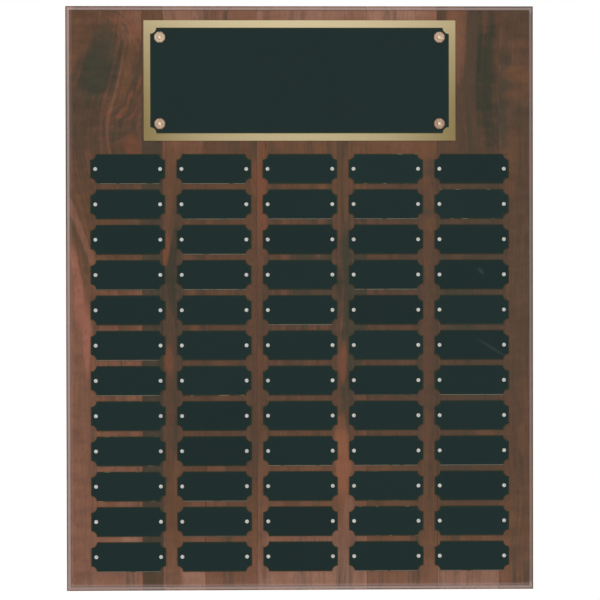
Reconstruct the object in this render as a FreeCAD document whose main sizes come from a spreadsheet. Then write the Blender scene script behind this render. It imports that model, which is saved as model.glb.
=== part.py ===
"""A perpetual plaque: a walnut board of glued staves, a header plate and rows of name plates.

All lengths are in millimetres. +X is to the right and +Z is up as the plaque hangs.
The back of the board lies on the plane Y = 0, against the wall, and the front faces -Y.
The origin is the centre of the back.
"""

import FreeCAD, Part
import Sketcher
import os

Vector = FreeCAD.Vector

# Driving sizes. The margins, plates and pitches together make a board of 406.4 x 508 (16 x 20 in).
SIZES = (
    ("board_thickness", 19.05),
    ("side_margin", 21.6),
    ("top_margin", 12.9),
    ("header_gap", 11.45),
    ("bottom_margin", 16.95),
    ("cove_radius", 3.2),
    ("cove_ledge", 0.9),
    ("back_bevel", 1.0),
    ("name_plate_width", 64.8),
    ("name_plate_height", 25.9),
    ("name_plate_scoop", 4.9),
    ("name_plate_thickness", 0.6),
    ("column_gap", 9.8),
    ("row_gap", 4.7),
    ("plate_pin_inset", 4.35),
    ("plate_pin_head_diameter", 4.1),
    ("plate_pin_head_height", 1.2),
    ("plate_pin_shank_diameter", 1.25),
    ("plate_pin_length", 12.7),
    ("plate_pin_point", 1.8),
    ("backing_width", 270.4),
    ("backing_height", 104.2),
    ("backing_thickness", 0.8),
    ("header_side_border", 5.75),
    ("header_end_border", 6.4),
    ("header_plate_scoop", 5.3),
    ("header_plate_thickness", 0.6),
    ("rosette_inset", 8.25),
    ("rosette_diameter", 10.3),
    ("rosette_seat_margin", 0.4),
    ("rosette_sheet", 0.45),
    ("rosette_rise", 0.65),
    ("rosette_notch_diameter", 2.6),
    ("rosette_crease_depth", 0.35),
    ("rosette_pin_head_diameter", 3.8),
    ("rosette_pin_head_height", 1.3),
    ("rosette_pin_shank_diameter", 1.6),
    ("rosette_pin_length", 12.7),
    ("rosette_pin_point", 2.2),
    ("hanger_drop", 50.8),
    ("hanger_width", 44.5),
    ("hanger_border", 4.6),
    ("hanger_thickness", 1.6),
    ("hanger_corner", 4.0),
    ("keyhole_diameter", 9.5),
    ("keyhole_slot_width", 4.8),
    ("keyhole_travel", 10.0),
    ("head_pocket_margin", 1.2),
    ("head_pocket_depth", 7.0),
    ("hanger_screw_inset", 5.75),
    ("screw_head_diameter", 5.6),
    ("screw_shank_diameter", 2.8),
    ("screw_length", 12.7),
    ("screw_point", 2.4),
    ("screw_slot_width", 0.9),
    ("screw_slot_length", 3.4),
    ("screw_slot_depth", 0.8),
    ("fit_clearance", 0.04),
    ("recess_clearance", 0.25),
    ("hole_bottom_clearance", 0.5),
    ("cut_overrun", 2.0),
)

ROWS = 12
COLUMNS = 5
ROSETTE_PETALS = 8
CROSS_ARMS = 4

# Where the glue lines between the staves lie, as shares of the board's width from its left edge.
STAVE_SEAM_SHARES = (0.163, 0.2067, 0.297, 0.408, 0.6425, 0.7933, 0.9255)

# How far outside a rosette's rim the centre of a notch lies, as a share of the notch's diameter.
NOTCH_OUTSIDE_SHARE = 0.25

# Half the width of a rosette's crease twice its depth above its floor, as a share of that depth.
CREASE_WIDTH_SHARE = 2

# An arc whose chord is at least this share of its diameter is drawn as a half turn.
HALF_TURN_SHARE = 0.999

document = FreeCAD.newDocument("perpetual_plaque")
sheet = document.addObject("Spreadsheet::Sheet", "sizes")
for line, (alias, value) in enumerate(SIZES, start=1):
    sheet.set("A%d" % line, alias)
    sheet.set("B%d" % line, str(value))
    sheet.setAlias("B%d" % line, alias)
document.recompute()

# Lengths worked out from the driving sizes, each an expression on the sheet.
COLUMN_PITCH = "(sizes.name_plate_width + sizes.column_gap)"
ROW_PITCH = "(sizes.name_plate_height + sizes.row_gap)"
BOARD_WIDTH = "(%d * %s + sizes.name_plate_width + 2 * sizes.side_margin)" % (
    COLUMNS - 1,
    COLUMN_PITCH,
)
BOARD_HEIGHT = (
    "(sizes.top_margin + sizes.backing_height + sizes.header_gap + %d * %s"
    " + sizes.name_plate_height + sizes.bottom_margin)" % (ROWS - 1, ROW_PITCH)
)
FIRST_COLUMN = "(-%d * %s / 2)" % (COLUMNS - 1, COLUMN_PITCH)
FIRST_ROW = (
    "(%s / 2 - sizes.top_margin - sizes.backing_height - sizes.header_gap"
    " - sizes.name_plate_height / 2)" % BOARD_HEIGHT
)
PLATE_PIN_SPACING = "(sizes.name_plate_width - 2 * sizes.plate_pin_inset)"
HEADER_HEIGHT_ABOVE = "(%s / 2 - sizes.top_margin - sizes.backing_height / 2)" % BOARD_HEIGHT
HEADER_PLATE_WIDTH = "(sizes.backing_width - 2 * sizes.header_side_border)"
HEADER_PLATE_HEIGHT = "(sizes.backing_height - 2 * sizes.header_end_border)"
ROSETTE_ACROSS = "(%s / 2 - sizes.rosette_inset)" % HEADER_PLATE_WIDTH
ROSETTE_UP = "(%s / 2 - sizes.rosette_inset)" % HEADER_PLATE_HEIGHT
BACKING_FRONT = "(sizes.board_thickness + sizes.backing_thickness)"
HEADER_FRONT = "(%s + sizes.header_plate_thickness)" % BACKING_FRONT
NAME_PLATE_FRONT = "(sizes.board_thickness + sizes.name_plate_thickness)"
HANGER_HEIGHT = (
    "(sizes.keyhole_travel + sizes.keyhole_diameter / 2 + sizes.keyhole_slot_width / 2"
    " + 2 * sizes.hanger_border)"
)
HANGER_ABOVE = "(%s / 2 - sizes.hanger_drop)" % BOARD_HEIGHT
KEYHOLE_ABOVE = "(%s - %s / 2 + sizes.hanger_border + sizes.keyhole_diameter / 2)" % (
    HANGER_ABOVE,
    HANGER_HEIGHT,
)
SCREW_ACROSS = "(sizes.hanger_width / 2 - sizes.hanger_screw_inset)"
SCREW_TAPER = "((sizes.screw_head_diameter - sizes.screw_shank_diameter) / 2)"


def number(expression):
    """The value of an expression on the sheet, in millimetres."""
    return float(sheet.evalExpression(expression.replace("sizes.", "")))


def row_height(row):
    """The expression for the height of a row of name plates, counted from the top from 0."""
    return "(%s - %d * %s)" % (FIRST_ROW, row, ROW_PITCH)


# Helpers that draw and place sketches.


def origin_part(body, role):
    """One of a body's own origin planes or axes."""
    found = [feature for feature in body.Origin.OriginFeatures if feature.Role == role]
    return found[0]


def new_body(label):
    """An empty body with a label that names its file."""
    body = document.addObject("PartDesign::Body", label)
    body.Label = label
    return body


def new_sketch(body, name, role, offset=("0", "0", "0")):
    """A sketch on one of the body's origin planes, moved in its own axes by three expressions."""
    sketch = body.newObject("Sketcher::SketchObject", name)
    sketch.AttachmentSupport = [(origin_part(body, role), "")]
    sketch.MapMode = "FlatFace"
    for axis, expression in zip("xyz", offset):
        if expression != "0":
            sketch.setExpression("AttachmentOffset.Base.%s" % axis, expression)
    return sketch


def bind(sketch, constraint, expression):
    """Add a constraint whose value follows an expression."""
    index = sketch.addConstraint(constraint)
    sketch.setExpression("Constraints[%d]" % index, expression)


def hold_point(sketch, geometry, end, place):
    """Hold one end of a sketch edge at a place given by two expressions."""
    for kind, expression in zip(("DistanceX", "DistanceY"), place):
        value = number(expression)
        bind(sketch, Sketcher.Constraint(kind, -1, 1, geometry, end, value), expression)


def hold_arc(sketch, geometry, start, finish, radius_expression):
    """Fix how round an arc is whose ends are held: by its radius, or by its centre on a half turn."""
    chord = [number(after) - number(before) for before, after in zip(start, finish)]
    radius = number(radius_expression)
    if chord[0] ** 2 + chord[1] ** 2 < (2 * radius * HALF_TURN_SHARE) ** 2:
        bind(sketch, Sketcher.Constraint("Radius", geometry, radius), radius_expression)
        return
    across_chord = 1 if abs(chord[0]) > abs(chord[1]) else 0
    kind = ("DistanceX", "DistanceY")[across_chord]
    centre = "((%s) + (%s)) / 2" % (start[across_chord], finish[across_chord])
    bind(sketch, Sketcher.Constraint(kind, -1, 1, geometry, 3, number(centre)), centre)


def add_outline(sketch, places, arcs=None):
    """Draw a closed outline through places, each a pair of expressions.

    Edge number k runs from place k to the next. arcs maps an edge number to a radius
    expression and the side to which that edge bulges: 1 for left of its way, -1 for right.
    """
    arcs = arcs or {}
    corners = [Vector(number(across), number(along), 0) for across, along in places]
    ends = []
    for edge, start in enumerate(corners):
        finish = corners[(edge + 1) % len(corners)]
        if edge not in arcs:
            geometry = sketch.addGeometry(Part.LineSegment(start, finish), False)
            ends.append((geometry, 1, 2))
            continue
        radius_expression, side = arcs[edge]
        radius = number(radius_expression)
        chord = finish - start
        half = chord.Length / 2
        rise = radius - max(radius * radius - half * half, 0) ** 0.5
        left = Vector(-chord.y, chord.x, 0).normalize()
        middle = (start + finish) * 0.5 + left * (rise * side)
        # A sketch arc runs anticlockwise, so one that bulges to the left is drawn backwards.
        backwards = side > 0
        arc = Part.Arc(finish, middle, start) if backwards else Part.Arc(start, middle, finish)
        geometry = sketch.addGeometry(arc, False)
        ends.append((geometry, 2, 1) if backwards else (geometry, 1, 2))
    for edge, (geometry, first, last) in enumerate(ends):
        following, following_first, _ = ends[(edge + 1) % len(ends)]
        sketch.addConstraint(
            Sketcher.Constraint("Coincident", geometry, last, following, following_first)
        )
        hold_point(sketch, geometry, first, places[edge])
        if edge in arcs:
            hold_arc(sketch, geometry, places[edge], places[(edge + 1) % len(ends)], arcs[edge][0])


def add_circle(sketch, place, radius_expression):
    """Draw a circle whose centre and radius follow expressions."""
    across, along = place
    radius = number(radius_expression)
    centre = Vector(number(across), number(along), 0)
    circle = Part.Circle(centre, Vector(0, 0, 1), radius)
    geometry = sketch.addGeometry(circle, False)
    hold_point(sketch, geometry, 3, place)
    bind(sketch, Sketcher.Constraint("Radius", geometry, radius), radius_expression)


def add_rectangle(sketch, width, height):
    """Draw a rectangle about the origin."""
    places = [
        ("%s%s / 2" % (side, width), "%s%s / 2" % (end, height))
        for side, end in (("-", "-"), ("+", "-"), ("+", "+"), ("-", "+"))
    ]
    add_outline(sketch, places)


def corner_cut_outline(sketch, width, height, cut, side):
    """A rectangle about the origin with a quarter arc at each corner.

    The arcs bulge inwards with side 1, as scoops, and outwards with side -1, as rounds.
    """
    half_width = "%s / 2" % width
    half_height = "%s / 2" % height
    near_width = "%s - %s" % (half_width, cut)
    near_height = "%s - %s" % (half_height, cut)
    places = [
        ("-(%s)" % near_width, "-(%s)" % half_height),
        (near_width, "-(%s)" % half_height),
        (half_width, "-(%s)" % near_height),
        (half_width, near_height),
        (near_width, half_height),
        ("-(%s)" % near_width, half_height),
        ("-(%s)" % half_width, near_height),
        ("-(%s)" % half_width, "-(%s)" % near_height),
    ]
    add_outline(sketch, places, {edge: (cut, side) for edge in (1, 3, 5, 7)})


def pad(body, sketch, length):
    """Raise a sketch by a length, along its normal."""
    feature = body.newObject("PartDesign::Pad", sketch.Label + "_pad")
    feature.Profile = sketch
    feature.setExpression("Length", length)
    return feature


def pocket(body, sketch, depth, into_front=False):
    """Cut a sketch into the body. A cut from the back runs towards the front."""
    feature = body.newObject("PartDesign::Pocket", sketch.Label + "_cut")
    feature.Profile = sketch
    feature.Reversed = into_front
    feature.setExpression("Length", depth)
    return feature


def through_cut(body, sketch):
    """Cut a sketch right through the body, both ways."""
    feature = body.newObject("PartDesign::Pocket", sketch.Label + "_cut")
    feature.Profile = sketch
    feature.Type = 1
    feature.Midplane = True
    return feature


def revolve(body, sketch, cut=False):
    """Turn a sketch once about its own vertical axis, as a solid or as a cut."""
    kind = "PartDesign::Groove" if cut else "PartDesign::Revolution"
    feature = body.newObject(kind, sketch.Label + "_turned")
    feature.Profile = sketch
    feature.ReferenceAxis = (sketch, ["V_Axis"])
    feature.Angle = 360
    return feature


def repeat(body, features, axis_role, pitch, count, backwards=False):
    """Repeat features along one of the body's axes, the first copy included."""
    name = "%s_repeat_%s" % (body.Label, features[0].Label)
    pattern = body.newObject("PartDesign::LinearPattern", name)
    pattern.Originals = features
    pattern.Direction = (origin_part(body, axis_role), [""])
    pattern.Reversed = backwards
    pattern.Occurrences = count
    pattern.setExpression("Length", "%d * %s" % (count - 1, pitch))
    body.Tip = pattern
    return pattern


# The board. Each stave is a strip of the board's outline, cut with the board's edge moulding
# where it reaches the edge, and with the pilot holes and hanger recess that fall in it.


def stave_edges():
    """The left and right side of each stave, as expressions from the board's centre."""
    shares = (0,) + STAVE_SEAM_SHARES + (1,)
    seams = ["(%s * (%s - 0.5))" % (BOARD_WIDTH, share) for share in shares]
    return list(zip(seams[:-1], seams[1:]))


def moulding_places(outward, half_length, front_first):
    """The cove and ledge cut along one edge of the front, and the bevel along the back.

    outward is "+" or "-", the way of that edge from the centre. front_first swaps the two
    sketch directions, for a sketch whose first direction is along Y.
    """
    depth = "-sizes.board_thickness"
    outside = "(%s + sizes.cut_overrun)" % half_length
    cove_start = "(%s - sizes.cove_ledge - sizes.cove_radius)" % half_length
    cove_end = "(%s - sizes.cove_ledge)" % half_length
    front = [
        (cove_start, depth),
        (cove_end, "%s + sizes.cove_radius" % depth),
        (outside, "%s + sizes.cove_radius" % depth),
        (outside, "%s - sizes.cut_overrun" % depth),
        (cove_start, "%s - sizes.cut_overrun" % depth),
    ]
    back = [
        ("(%s - sizes.back_bevel)" % half_length, "0"),
        (half_length, "-sizes.back_bevel"),
        (outside, "-sizes.back_bevel"),
        (outside, "sizes.cut_overrun"),
        ("(%s - sizes.back_bevel)" % half_length, "sizes.cut_overrun"),
    ]
    signed = [[("%s%s" % (outward, far), deep) for far, deep in loop] for loop in (front, back)]
    if front_first:
        signed = [[(deep, far) for far, deep in loop] for loop in signed]
    return signed


def cut_moulding(body, name, role, outward, half_length):
    """Cut the edge moulding along one side of the board."""
    front_first = role == "YZ_Plane"
    sketch = new_sketch(body, name, role)
    front, back = moulding_places(outward, half_length, front_first)
    bulge = 1 if (outward == "+") != front_first else -1
    add_outline(sketch, front, {0: ("sizes.cove_radius", bulge)})
    add_outline(sketch, back)
    through_cut(body, sketch)


def overlaps(left, right, centre, width):
    """Whether a feature of that width about a centre reaches into a stave."""
    reach = number(width) / 2
    return number(centre) + reach > number(left) and number(centre) - reach < number(right)


def plate_pin_columns():
    """Where the name plates' pins stand across the board, as expressions."""
    return [
        "(%s + %d * %s %s %s / 2)" % (FIRST_COLUMN, column, COLUMN_PITCH, side, PLATE_PIN_SPACING)
        for column in range(COLUMNS)
        for side in ("-", "+")
    ]


def drill_plate_pin_holes(body, left, right):
    """Drill the pilot holes of the name plates' pins that fall in a stave, row by row."""
    hole = "(sizes.plate_pin_shank_diameter + 2 * sizes.fit_clearance)"
    depth = "sizes.plate_pin_length - sizes.name_plate_thickness + sizes.hole_bottom_clearance"
    columns = [place for place in plate_pin_columns() if overlaps(left, right, place, hole)]
    if not columns:
        return
    face = ("0", row_height(0), "sizes.board_thickness")
    sketch = new_sketch(body, body.Label + "_pin_holes", "XZ_Plane", face)
    for place in columns:
        add_circle(sketch, (place, "0"), "%s / 2" % hole)
    drilled = pocket(body, sketch, depth)
    document.recompute()
    repeat(body, [drilled], "Z_Axis", ROW_PITCH, ROWS, backwards=True)


def drill_rosette_pin_holes(body, left, right):
    """Drill the pilot holes of the rosettes' pins that fall in a stave."""
    hole = "(sizes.rosette_pin_shank_diameter + 2 * sizes.fit_clearance)"
    stack = "sizes.backing_thickness + sizes.header_plate_thickness + sizes.rosette_sheet"
    depth = "sizes.rosette_pin_length - (%s) + sizes.hole_bottom_clearance" % stack
    places = [side + ROSETTE_ACROSS for side in "-+"]
    columns = [place for place in places if overlaps(left, right, place, hole)]
    if not columns:
        return
    face = ("0", HEADER_HEIGHT_ABOVE, "sizes.board_thickness")
    sketch = new_sketch(body, body.Label + "_rosette_holes", "XZ_Plane", face)
    for place in columns:
        for end in "-+":
            add_circle(sketch, (place, end + ROSETTE_UP), "%s / 2" % hole)
    pocket(body, sketch, depth)


def cut_hanger_recess(body, left, right):
    """Rout the recess of the hanger plate, and the pocket and pilot holes under it."""
    recess_width = "(sizes.hanger_width + 2 * sizes.recess_clearance)"
    recess_height = "(%s + 2 * sizes.recess_clearance)" % HANGER_HEIGHT
    if not overlaps(left, right, "0", recess_width):
        return
    corner = "(sizes.hanger_corner + sizes.recess_clearance)"
    back = ("0", HANGER_ABOVE, "0")
    recess = new_sketch(body, body.Label + "_hanger_recess", "XZ_Plane", back)
    corner_cut_outline(recess, recess_width, recess_height, corner, -1)
    pocket(body, recess, "sizes.hanger_thickness", into_front=True)

    pocket_width = "(sizes.keyhole_diameter + 2 * sizes.head_pocket_margin)"
    pocket_height = "(%s + sizes.keyhole_travel)" % pocket_width
    middle = "(%s + sizes.keyhole_travel / 2)" % KEYHOLE_ABOVE
    floor = ("0", middle, "sizes.hanger_thickness")
    head_pocket = new_sketch(body, body.Label + "_head_pocket", "XZ_Plane", floor)
    add_slot(head_pocket, pocket_width, pocket_height)
    pocket(body, head_pocket, "sizes.head_pocket_depth", into_front=True)

    document.recompute()
    drill_screw_holes(body, "sizes.screw_length + sizes.hole_bottom_clearance")


def drill_screw_holes(body, depth):
    """Drill the hanger's two countersunk screw holes from the back, to a depth."""
    for side, word in (("-", "left"), ("+", "right")):
        place = (side + SCREW_ACROSS, "0", HANGER_ABOVE)
        sketch = new_sketch(body, "%s_%s_screw_hole" % (body.Label, word), "XY_Plane", place)
        mouth = "sizes.screw_head_diameter / 2 + sizes.fit_clearance"
        shank = "sizes.screw_shank_diameter / 2 + sizes.fit_clearance"
        places = [
            ("0", "sizes.cut_overrun"),
            ("0", "-(%s)" % depth),
            (shank, "-(%s)" % depth),
            (shank, "-%s" % SCREW_TAPER),
            (mouth, "0"),
            (mouth, "sizes.cut_overrun"),
        ]
        add_outline(sketch, places)
        revolve(body, sketch, cut=True)
        document.recompute()


def add_slot(sketch, width, height):
    """An upright slot with round ends about the origin."""
    side = "%s / 2" % width
    end = "(%s - %s) / 2" % (height, width)
    places = [
        ("-%s" % side, "-%s" % end),
        (side, "-%s" % end),
        (side, end),
        ("-%s" % side, end),
    ]
    add_outline(sketch, places, {0: (side, -1), 2: (side, -1)})


def make_stave(position, left, right):
    """One stave of the board."""
    label = "walnut_stave_%d" % position
    body = new_body(label)
    outline = new_sketch(body, label + "_outline", "XZ_Plane")
    half_height = "%s / 2" % BOARD_HEIGHT
    places = [
        (left, "-%s" % half_height),
        (right, "-%s" % half_height),
        (right, half_height),
        (left, half_height),
    ]
    add_outline(outline, places)
    pad(body, outline, "sizes.board_thickness")
    document.recompute()
    drill_plate_pin_holes(body, left, right)
    drill_rosette_pin_holes(body, left, right)
    cut_hanger_recess(body, left, right)
    half_width = "%s / 2" % BOARD_WIDTH
    cut_moulding(body, label + "_top_moulding", "YZ_Plane", "+", half_height)
    cut_moulding(body, label + "_bottom_moulding", "YZ_Plane", "-", half_height)
    if position == 1:
        cut_moulding(body, label + "_left_moulding", "XY_Plane", "-", half_width)
    if position == len(STAVE_SEAM_SHARES) + 1:
        cut_moulding(body, label + "_right_moulding", "XY_Plane", "+", half_width)
    return body


# The name plates and their pins, one body for each row.


def make_name_plate_row(row):
    """A row of name plates, each with scooped corners and two pin holes."""
    label = "name_plates_row_%02d" % (row + 1)
    body = new_body(label)
    seat = (FIRST_COLUMN, row_height(row), "sizes.board_thickness")
    sketch = new_sketch(body, label + "_outline", "XZ_Plane", seat)
    corner_cut_outline(
        sketch, "sizes.name_plate_width", "sizes.name_plate_height", "sizes.name_plate_scoop", 1
    )
    for side in "-+":
        place = ("%s%s / 2" % (side, PLATE_PIN_SPACING), "0")
        add_circle(sketch, place, "sizes.plate_pin_shank_diameter / 2 + sizes.fit_clearance")
    plate = pad(body, sketch, "sizes.name_plate_thickness")
    document.recompute()
    repeat(body, [plate], "X_Axis", COLUMN_PITCH, COLUMNS)
    return body


def domed_pin(body, name, place, seat, pin):
    """A pin with a domed head and a pointed shank, standing along Y.

    place is where its axis stands across and up, and seat how far in front of the back its
    head sits. pin is the start of the names of its sizes.
    """
    across, up = place
    sketch = new_sketch(body, name, "XY_Plane", (across, "-%s" % seat, up))
    head = "sizes.%s_head_diameter / 2" % pin
    rise = "sizes.%s_head_height" % pin
    shank = "sizes.%s_shank_diameter / 2" % pin
    length = "sizes.%s_length" % pin
    point = "sizes.%s_point" % pin
    dome = "((%s) ^ 2 + (%s) ^ 2) / (2 * %s)" % (head, rise, rise)
    places = [
        ("0", "-%s" % rise),
        (head, "0"),
        (shank, "0"),
        (shank, "%s - %s" % (length, point)),
        ("0", length),
    ]
    add_outline(sketch, places, {0: (dome, -1)})
    return revolve(body, sketch)


def make_name_plate_pin_row(row):
    """The pins of a row of name plates."""
    label = "name_plate_pins_row_%02d" % (row + 1)
    body = new_body(label)
    pins = []
    for side, word in (("-", "left"), ("+", "right")):
        across = "(%s %s %s / 2)" % (FIRST_COLUMN, side, PLATE_PIN_SPACING)
        place = (across, row_height(row))
        name = "%s_%s" % (label, word)
        pins.append(domed_pin(body, name, place, NAME_PLATE_FRONT, "plate_pin"))
        document.recompute()
    repeat(body, pins, "X_Axis", COLUMN_PITCH, COLUMNS)
    return body


# The header: a brass backing plate, a black plate on it, and four rosettes with their pins.


def add_rosette_pin_holes(sketch):
    """The four holes for the rosettes' pins, about the header's centre."""
    for side in "-+":
        for end in "-+":
            place = (side + ROSETTE_ACROSS, end + ROSETTE_UP)
            add_circle(sketch, place, "sizes.rosette_pin_shank_diameter / 2 + sizes.fit_clearance")


def make_header_backing_plate():
    """The square-cornered brass plate behind the header plate."""
    body = new_body("header_backing_plate")
    seat = ("0", HEADER_HEIGHT_ABOVE, "sizes.board_thickness")
    sketch = new_sketch(body, "backing_outline", "XZ_Plane", seat)
    add_rectangle(sketch, "sizes.backing_width", "sizes.backing_height")
    add_rosette_pin_holes(sketch)
    pad(body, sketch, "sizes.backing_thickness")
    return body


def make_header_plate():
    """The black header plate, with scooped corners."""
    body = new_body("header_plate")
    seat = ("0", HEADER_HEIGHT_ABOVE, BACKING_FRONT)
    sketch = new_sketch(body, "header_outline", "XZ_Plane", seat)
    corner_cut_outline(
        sketch, HEADER_PLATE_WIDTH, HEADER_PLATE_HEIGHT, "sizes.header_plate_scoop", 1
    )
    add_rosette_pin_holes(sketch)
    pad(body, sketch, "sizes.header_plate_thickness")
    return body


def make_rosette(position, side, end):
    """A stamped rosette: a ring-shaped ridge with petals, round a flat seat for its pin."""
    label = "header_rosette_%d" % position
    body = new_body(label)
    rim = "sizes.rosette_diameter / 2"
    seat = "(sizes.rosette_pin_head_diameter / 2 + sizes.rosette_seat_margin)"
    hole = "(sizes.rosette_pin_shank_diameter / 2 + sizes.fit_clearance)"
    sheet_metal = "sizes.rosette_sheet"
    rise = "sizes.rosette_rise"
    outer_half_chord = "((%s - %s) / 2)" % (rim, seat)
    inner_half_chord = "(%s - %s)" % (outer_half_chord, sheet_metal)
    outer_arc = "(%s ^ 2 + %s ^ 2) / (2 * %s)" % (outer_half_chord, rise, rise)
    inner_arc = "%s * %s / %s" % (outer_arc, inner_half_chord, outer_half_chord)
    section = new_sketch(body, label + "_section", "XY_Plane")
    places = [
        (hole, "0"),
        ("%s + %s" % (seat, sheet_metal), "0"),
        ("%s - %s" % (rim, sheet_metal), "0"),
        (rim, "0"),
        (rim, "-%s" % sheet_metal),
        (seat, "-%s" % sheet_metal),
        (hole, "-%s" % sheet_metal),
    ]
    add_outline(section, places, {1: (inner_arc, -1), 4: (outer_arc, 1)})
    revolve(body, section)
    document.recompute()

    notch = new_sketch(body, label + "_notch", "XZ_Plane")
    notch_centre = "%s + sizes.rosette_notch_diameter * %s" % (rim, NOTCH_OUTSIDE_SHARE)
    add_circle(notch, (notch_centre, "0"), "sizes.rosette_notch_diameter / 2")
    notch_cut = through_cut(body, notch)
    document.recompute()

    # The crease between two petals: a narrow vee run out along X, over the ridge.
    crease = new_sketch(body, label + "_crease", "YZ_Plane", ("0", "0", seat))
    crease_floor = "-(%s + %s - sizes.rosette_crease_depth)" % (sheet_metal, rise)
    crease_top = "-(%s + %s + sizes.rosette_crease_depth)" % (sheet_metal, rise)
    crease_half_width = "sizes.rosette_crease_depth * %s" % CREASE_WIDTH_SHARE
    places = [
        (crease_floor, "0"),
        (crease_top, crease_half_width),
        (crease_top, "-" + crease_half_width),
    ]
    add_outline(crease, places)
    crease_cut = pocket(body, crease, "%s + sizes.cut_overrun" % rim, into_front=True)
    document.recompute()

    petals = body.newObject("PartDesign::PolarPattern", label + "_petals")
    petals.Originals = [notch_cut, crease_cut]
    petals.Axis = (origin_part(body, "Y_Axis"), [""])
    petals.Angle = 360
    petals.Occurrences = ROSETTE_PETALS
    body.Tip = petals
    body.setExpression("Placement.Base.x", side + ROSETTE_ACROSS)
    body.setExpression("Placement.Base.y", "-%s" % HEADER_FRONT)
    body.setExpression("Placement.Base.z", "%s %s %s" % (HEADER_HEIGHT_ABOVE, end, ROSETTE_UP))
    return body


def make_rosette_pins():
    """The four domed pins that hold the rosettes and both header plates."""
    label = "header_rosette_pins"
    body = new_body(label)
    seat = "(%s + sizes.rosette_sheet)" % HEADER_FRONT
    for side, across_word in (("-", "left"), ("+", "right")):
        for end, up_word in (("-", "low"), ("+", "high")):
            place = (side + ROSETTE_ACROSS, "%s %s %s" % (HEADER_HEIGHT_ABOVE, end, ROSETTE_UP))
            name = "%s_%s_%s" % (label, across_word, up_word)
            domed_pin(body, name, place, seat, "rosette_pin")
            document.recompute()
    return body


# The hanging hardware, let in flush with the back.


def make_keyhole_hanger_plate():
    """A steel plate with a keyhole and two countersunk screw holes."""
    label = "keyhole_hanger_plate"
    body = new_body(label)
    back = ("0", HANGER_ABOVE, "0")
    outline = new_sketch(body, label + "_outline", "XZ_Plane", back)
    corner_cut_outline(outline, "sizes.hanger_width", HANGER_HEIGHT, "sizes.hanger_corner", -1)
    pad(body, outline, "sizes.hanger_thickness")
    document.recompute()
    round_hole = new_sketch(body, label + "_round", "XZ_Plane")
    add_circle(round_hole, ("0", KEYHOLE_ABOVE), "sizes.keyhole_diameter / 2")
    through_cut(body, round_hole)
    document.recompute()
    slot_middle = ("0", "%s + sizes.keyhole_travel / 2" % KEYHOLE_ABOVE, "0")
    slot = new_sketch(body, label + "_slot", "XZ_Plane", slot_middle)
    slot_height = "(sizes.keyhole_travel + sizes.keyhole_slot_width)"
    add_slot(slot, "sizes.keyhole_slot_width", slot_height)
    through_cut(body, slot)
    document.recompute()
    drill_screw_holes(body, "sizes.hanger_thickness + sizes.cut_overrun")
    return body


def make_hanger_screws():
    """The two countersunk wood screws of the hanger plate, each with a slot in its head."""
    label = "hanger_screws"
    body = new_body(label)
    head = "sizes.screw_head_diameter / 2"
    shank = "sizes.screw_shank_diameter / 2"
    for side, word in (("-", "left"), ("+", "right")):
        across = side + SCREW_ACROSS
        profile = new_sketch(
            body, "%s_%s" % (label, word), "XY_Plane", (across, "0", HANGER_ABOVE)
        )
        places = [
            ("0", "0"),
            ("0", "-sizes.screw_length"),
            (shank, "-(sizes.screw_length - sizes.screw_point)"),
            (shank, "-%s" % SCREW_TAPER),
            (head, "0"),
        ]
        add_outline(profile, places)
        revolve(body, profile)
        document.recompute()
        middle = (across, HANGER_ABOVE, "0")
        slots = new_sketch(body, "%s_%s_cross" % (label, word), "XZ_Plane", middle)
        add_cross(slots, "sizes.screw_slot_length", "sizes.screw_slot_width")
        pocket(body, slots, "sizes.screw_slot_depth", into_front=True)
        document.recompute()
    return body


def add_cross(sketch, length, width):
    """A cross about the origin, as the recess of a screw head."""
    far = "%s / 2" % length
    near = "%s / 2" % width
    arm = [(far, "-%s" % near), (far, near), (near, near)]
    places = []
    for _ in range(CROSS_ARMS):
        places.extend(arm)
        arm = [("-(%s)" % up, across) for across, up in arm]
    add_outline(sketch, places)


def main():
    """Make every piece, check it and write it."""
    bodies = [
        make_stave(position, left, right)
        for position, (left, right) in enumerate(stave_edges(), start=1)
    ]
    bodies.append(make_header_backing_plate())
    bodies.append(make_header_plate())
    corners = (("-", "+"), ("+", "+"), ("-", "-"), ("+", "-"))
    for position, (side, end) in enumerate(corners, start=1):
        bodies.append(make_rosette(position, side, end))
    bodies.append(make_rosette_pins())
    bodies.extend(make_name_plate_row(row) for row in range(ROWS))
    bodies.extend(make_name_plate_pin_row(row) for row in range(ROWS))
    bodies.append(make_keyhole_hanger_plate())
    bodies.append(make_hanger_screws())
    document.recompute()

    failed = [
        item.Label
        for item in document.Objects
        if "Invalid" in item.State or "Error" in item.State
    ]
    if failed:
        raise RuntimeError("did not build: %s" % ", ".join(failed))
    for body in bodies:
        if body.Shape.isNull() or not body.Shape.isValid():
            raise RuntimeError("%s has no valid solid" % body.Label)

    os.makedirs("parts", exist_ok=True)
    for body in bodies:
        body.Shape.exportStep("parts/%s.step" % body.Label)
        box = body.Shape.BoundBox
        print(
            "%-26s %3d solids  volume %10.1f  x %.2f..%.2f  y %.2f..%.2f  z %.2f..%.2f"
            % (
                body.Label,
                len(body.Shape.Solids),
                body.Shape.Volume,
                box.XMin,
                box.XMax,
                box.YMin,
                box.YMax,
                box.ZMin,
                box.ZMax,
            )
        )


main()
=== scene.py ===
"""The looks of a perpetual plaque: a lacquered walnut board with black name plates.

The board is glued up from staves, each with its own figure. A black header plate lies on a brass
one, held by rosettes, and rows of black name plates are held by domed nickel pins. Places are in
metres in the plaque's own axes: +X to the right, +Z up as it hangs, and the front faces -Y. The
finishes work in millimetres, as their figures, strokes and stains are that small.
"""

import logging
import math
from abc import ABC, abstractmethod
from dataclasses import dataclass, replace
from enum import Enum
from typing import Any, Callable, Mapping, Optional, Sequence, Union

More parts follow.
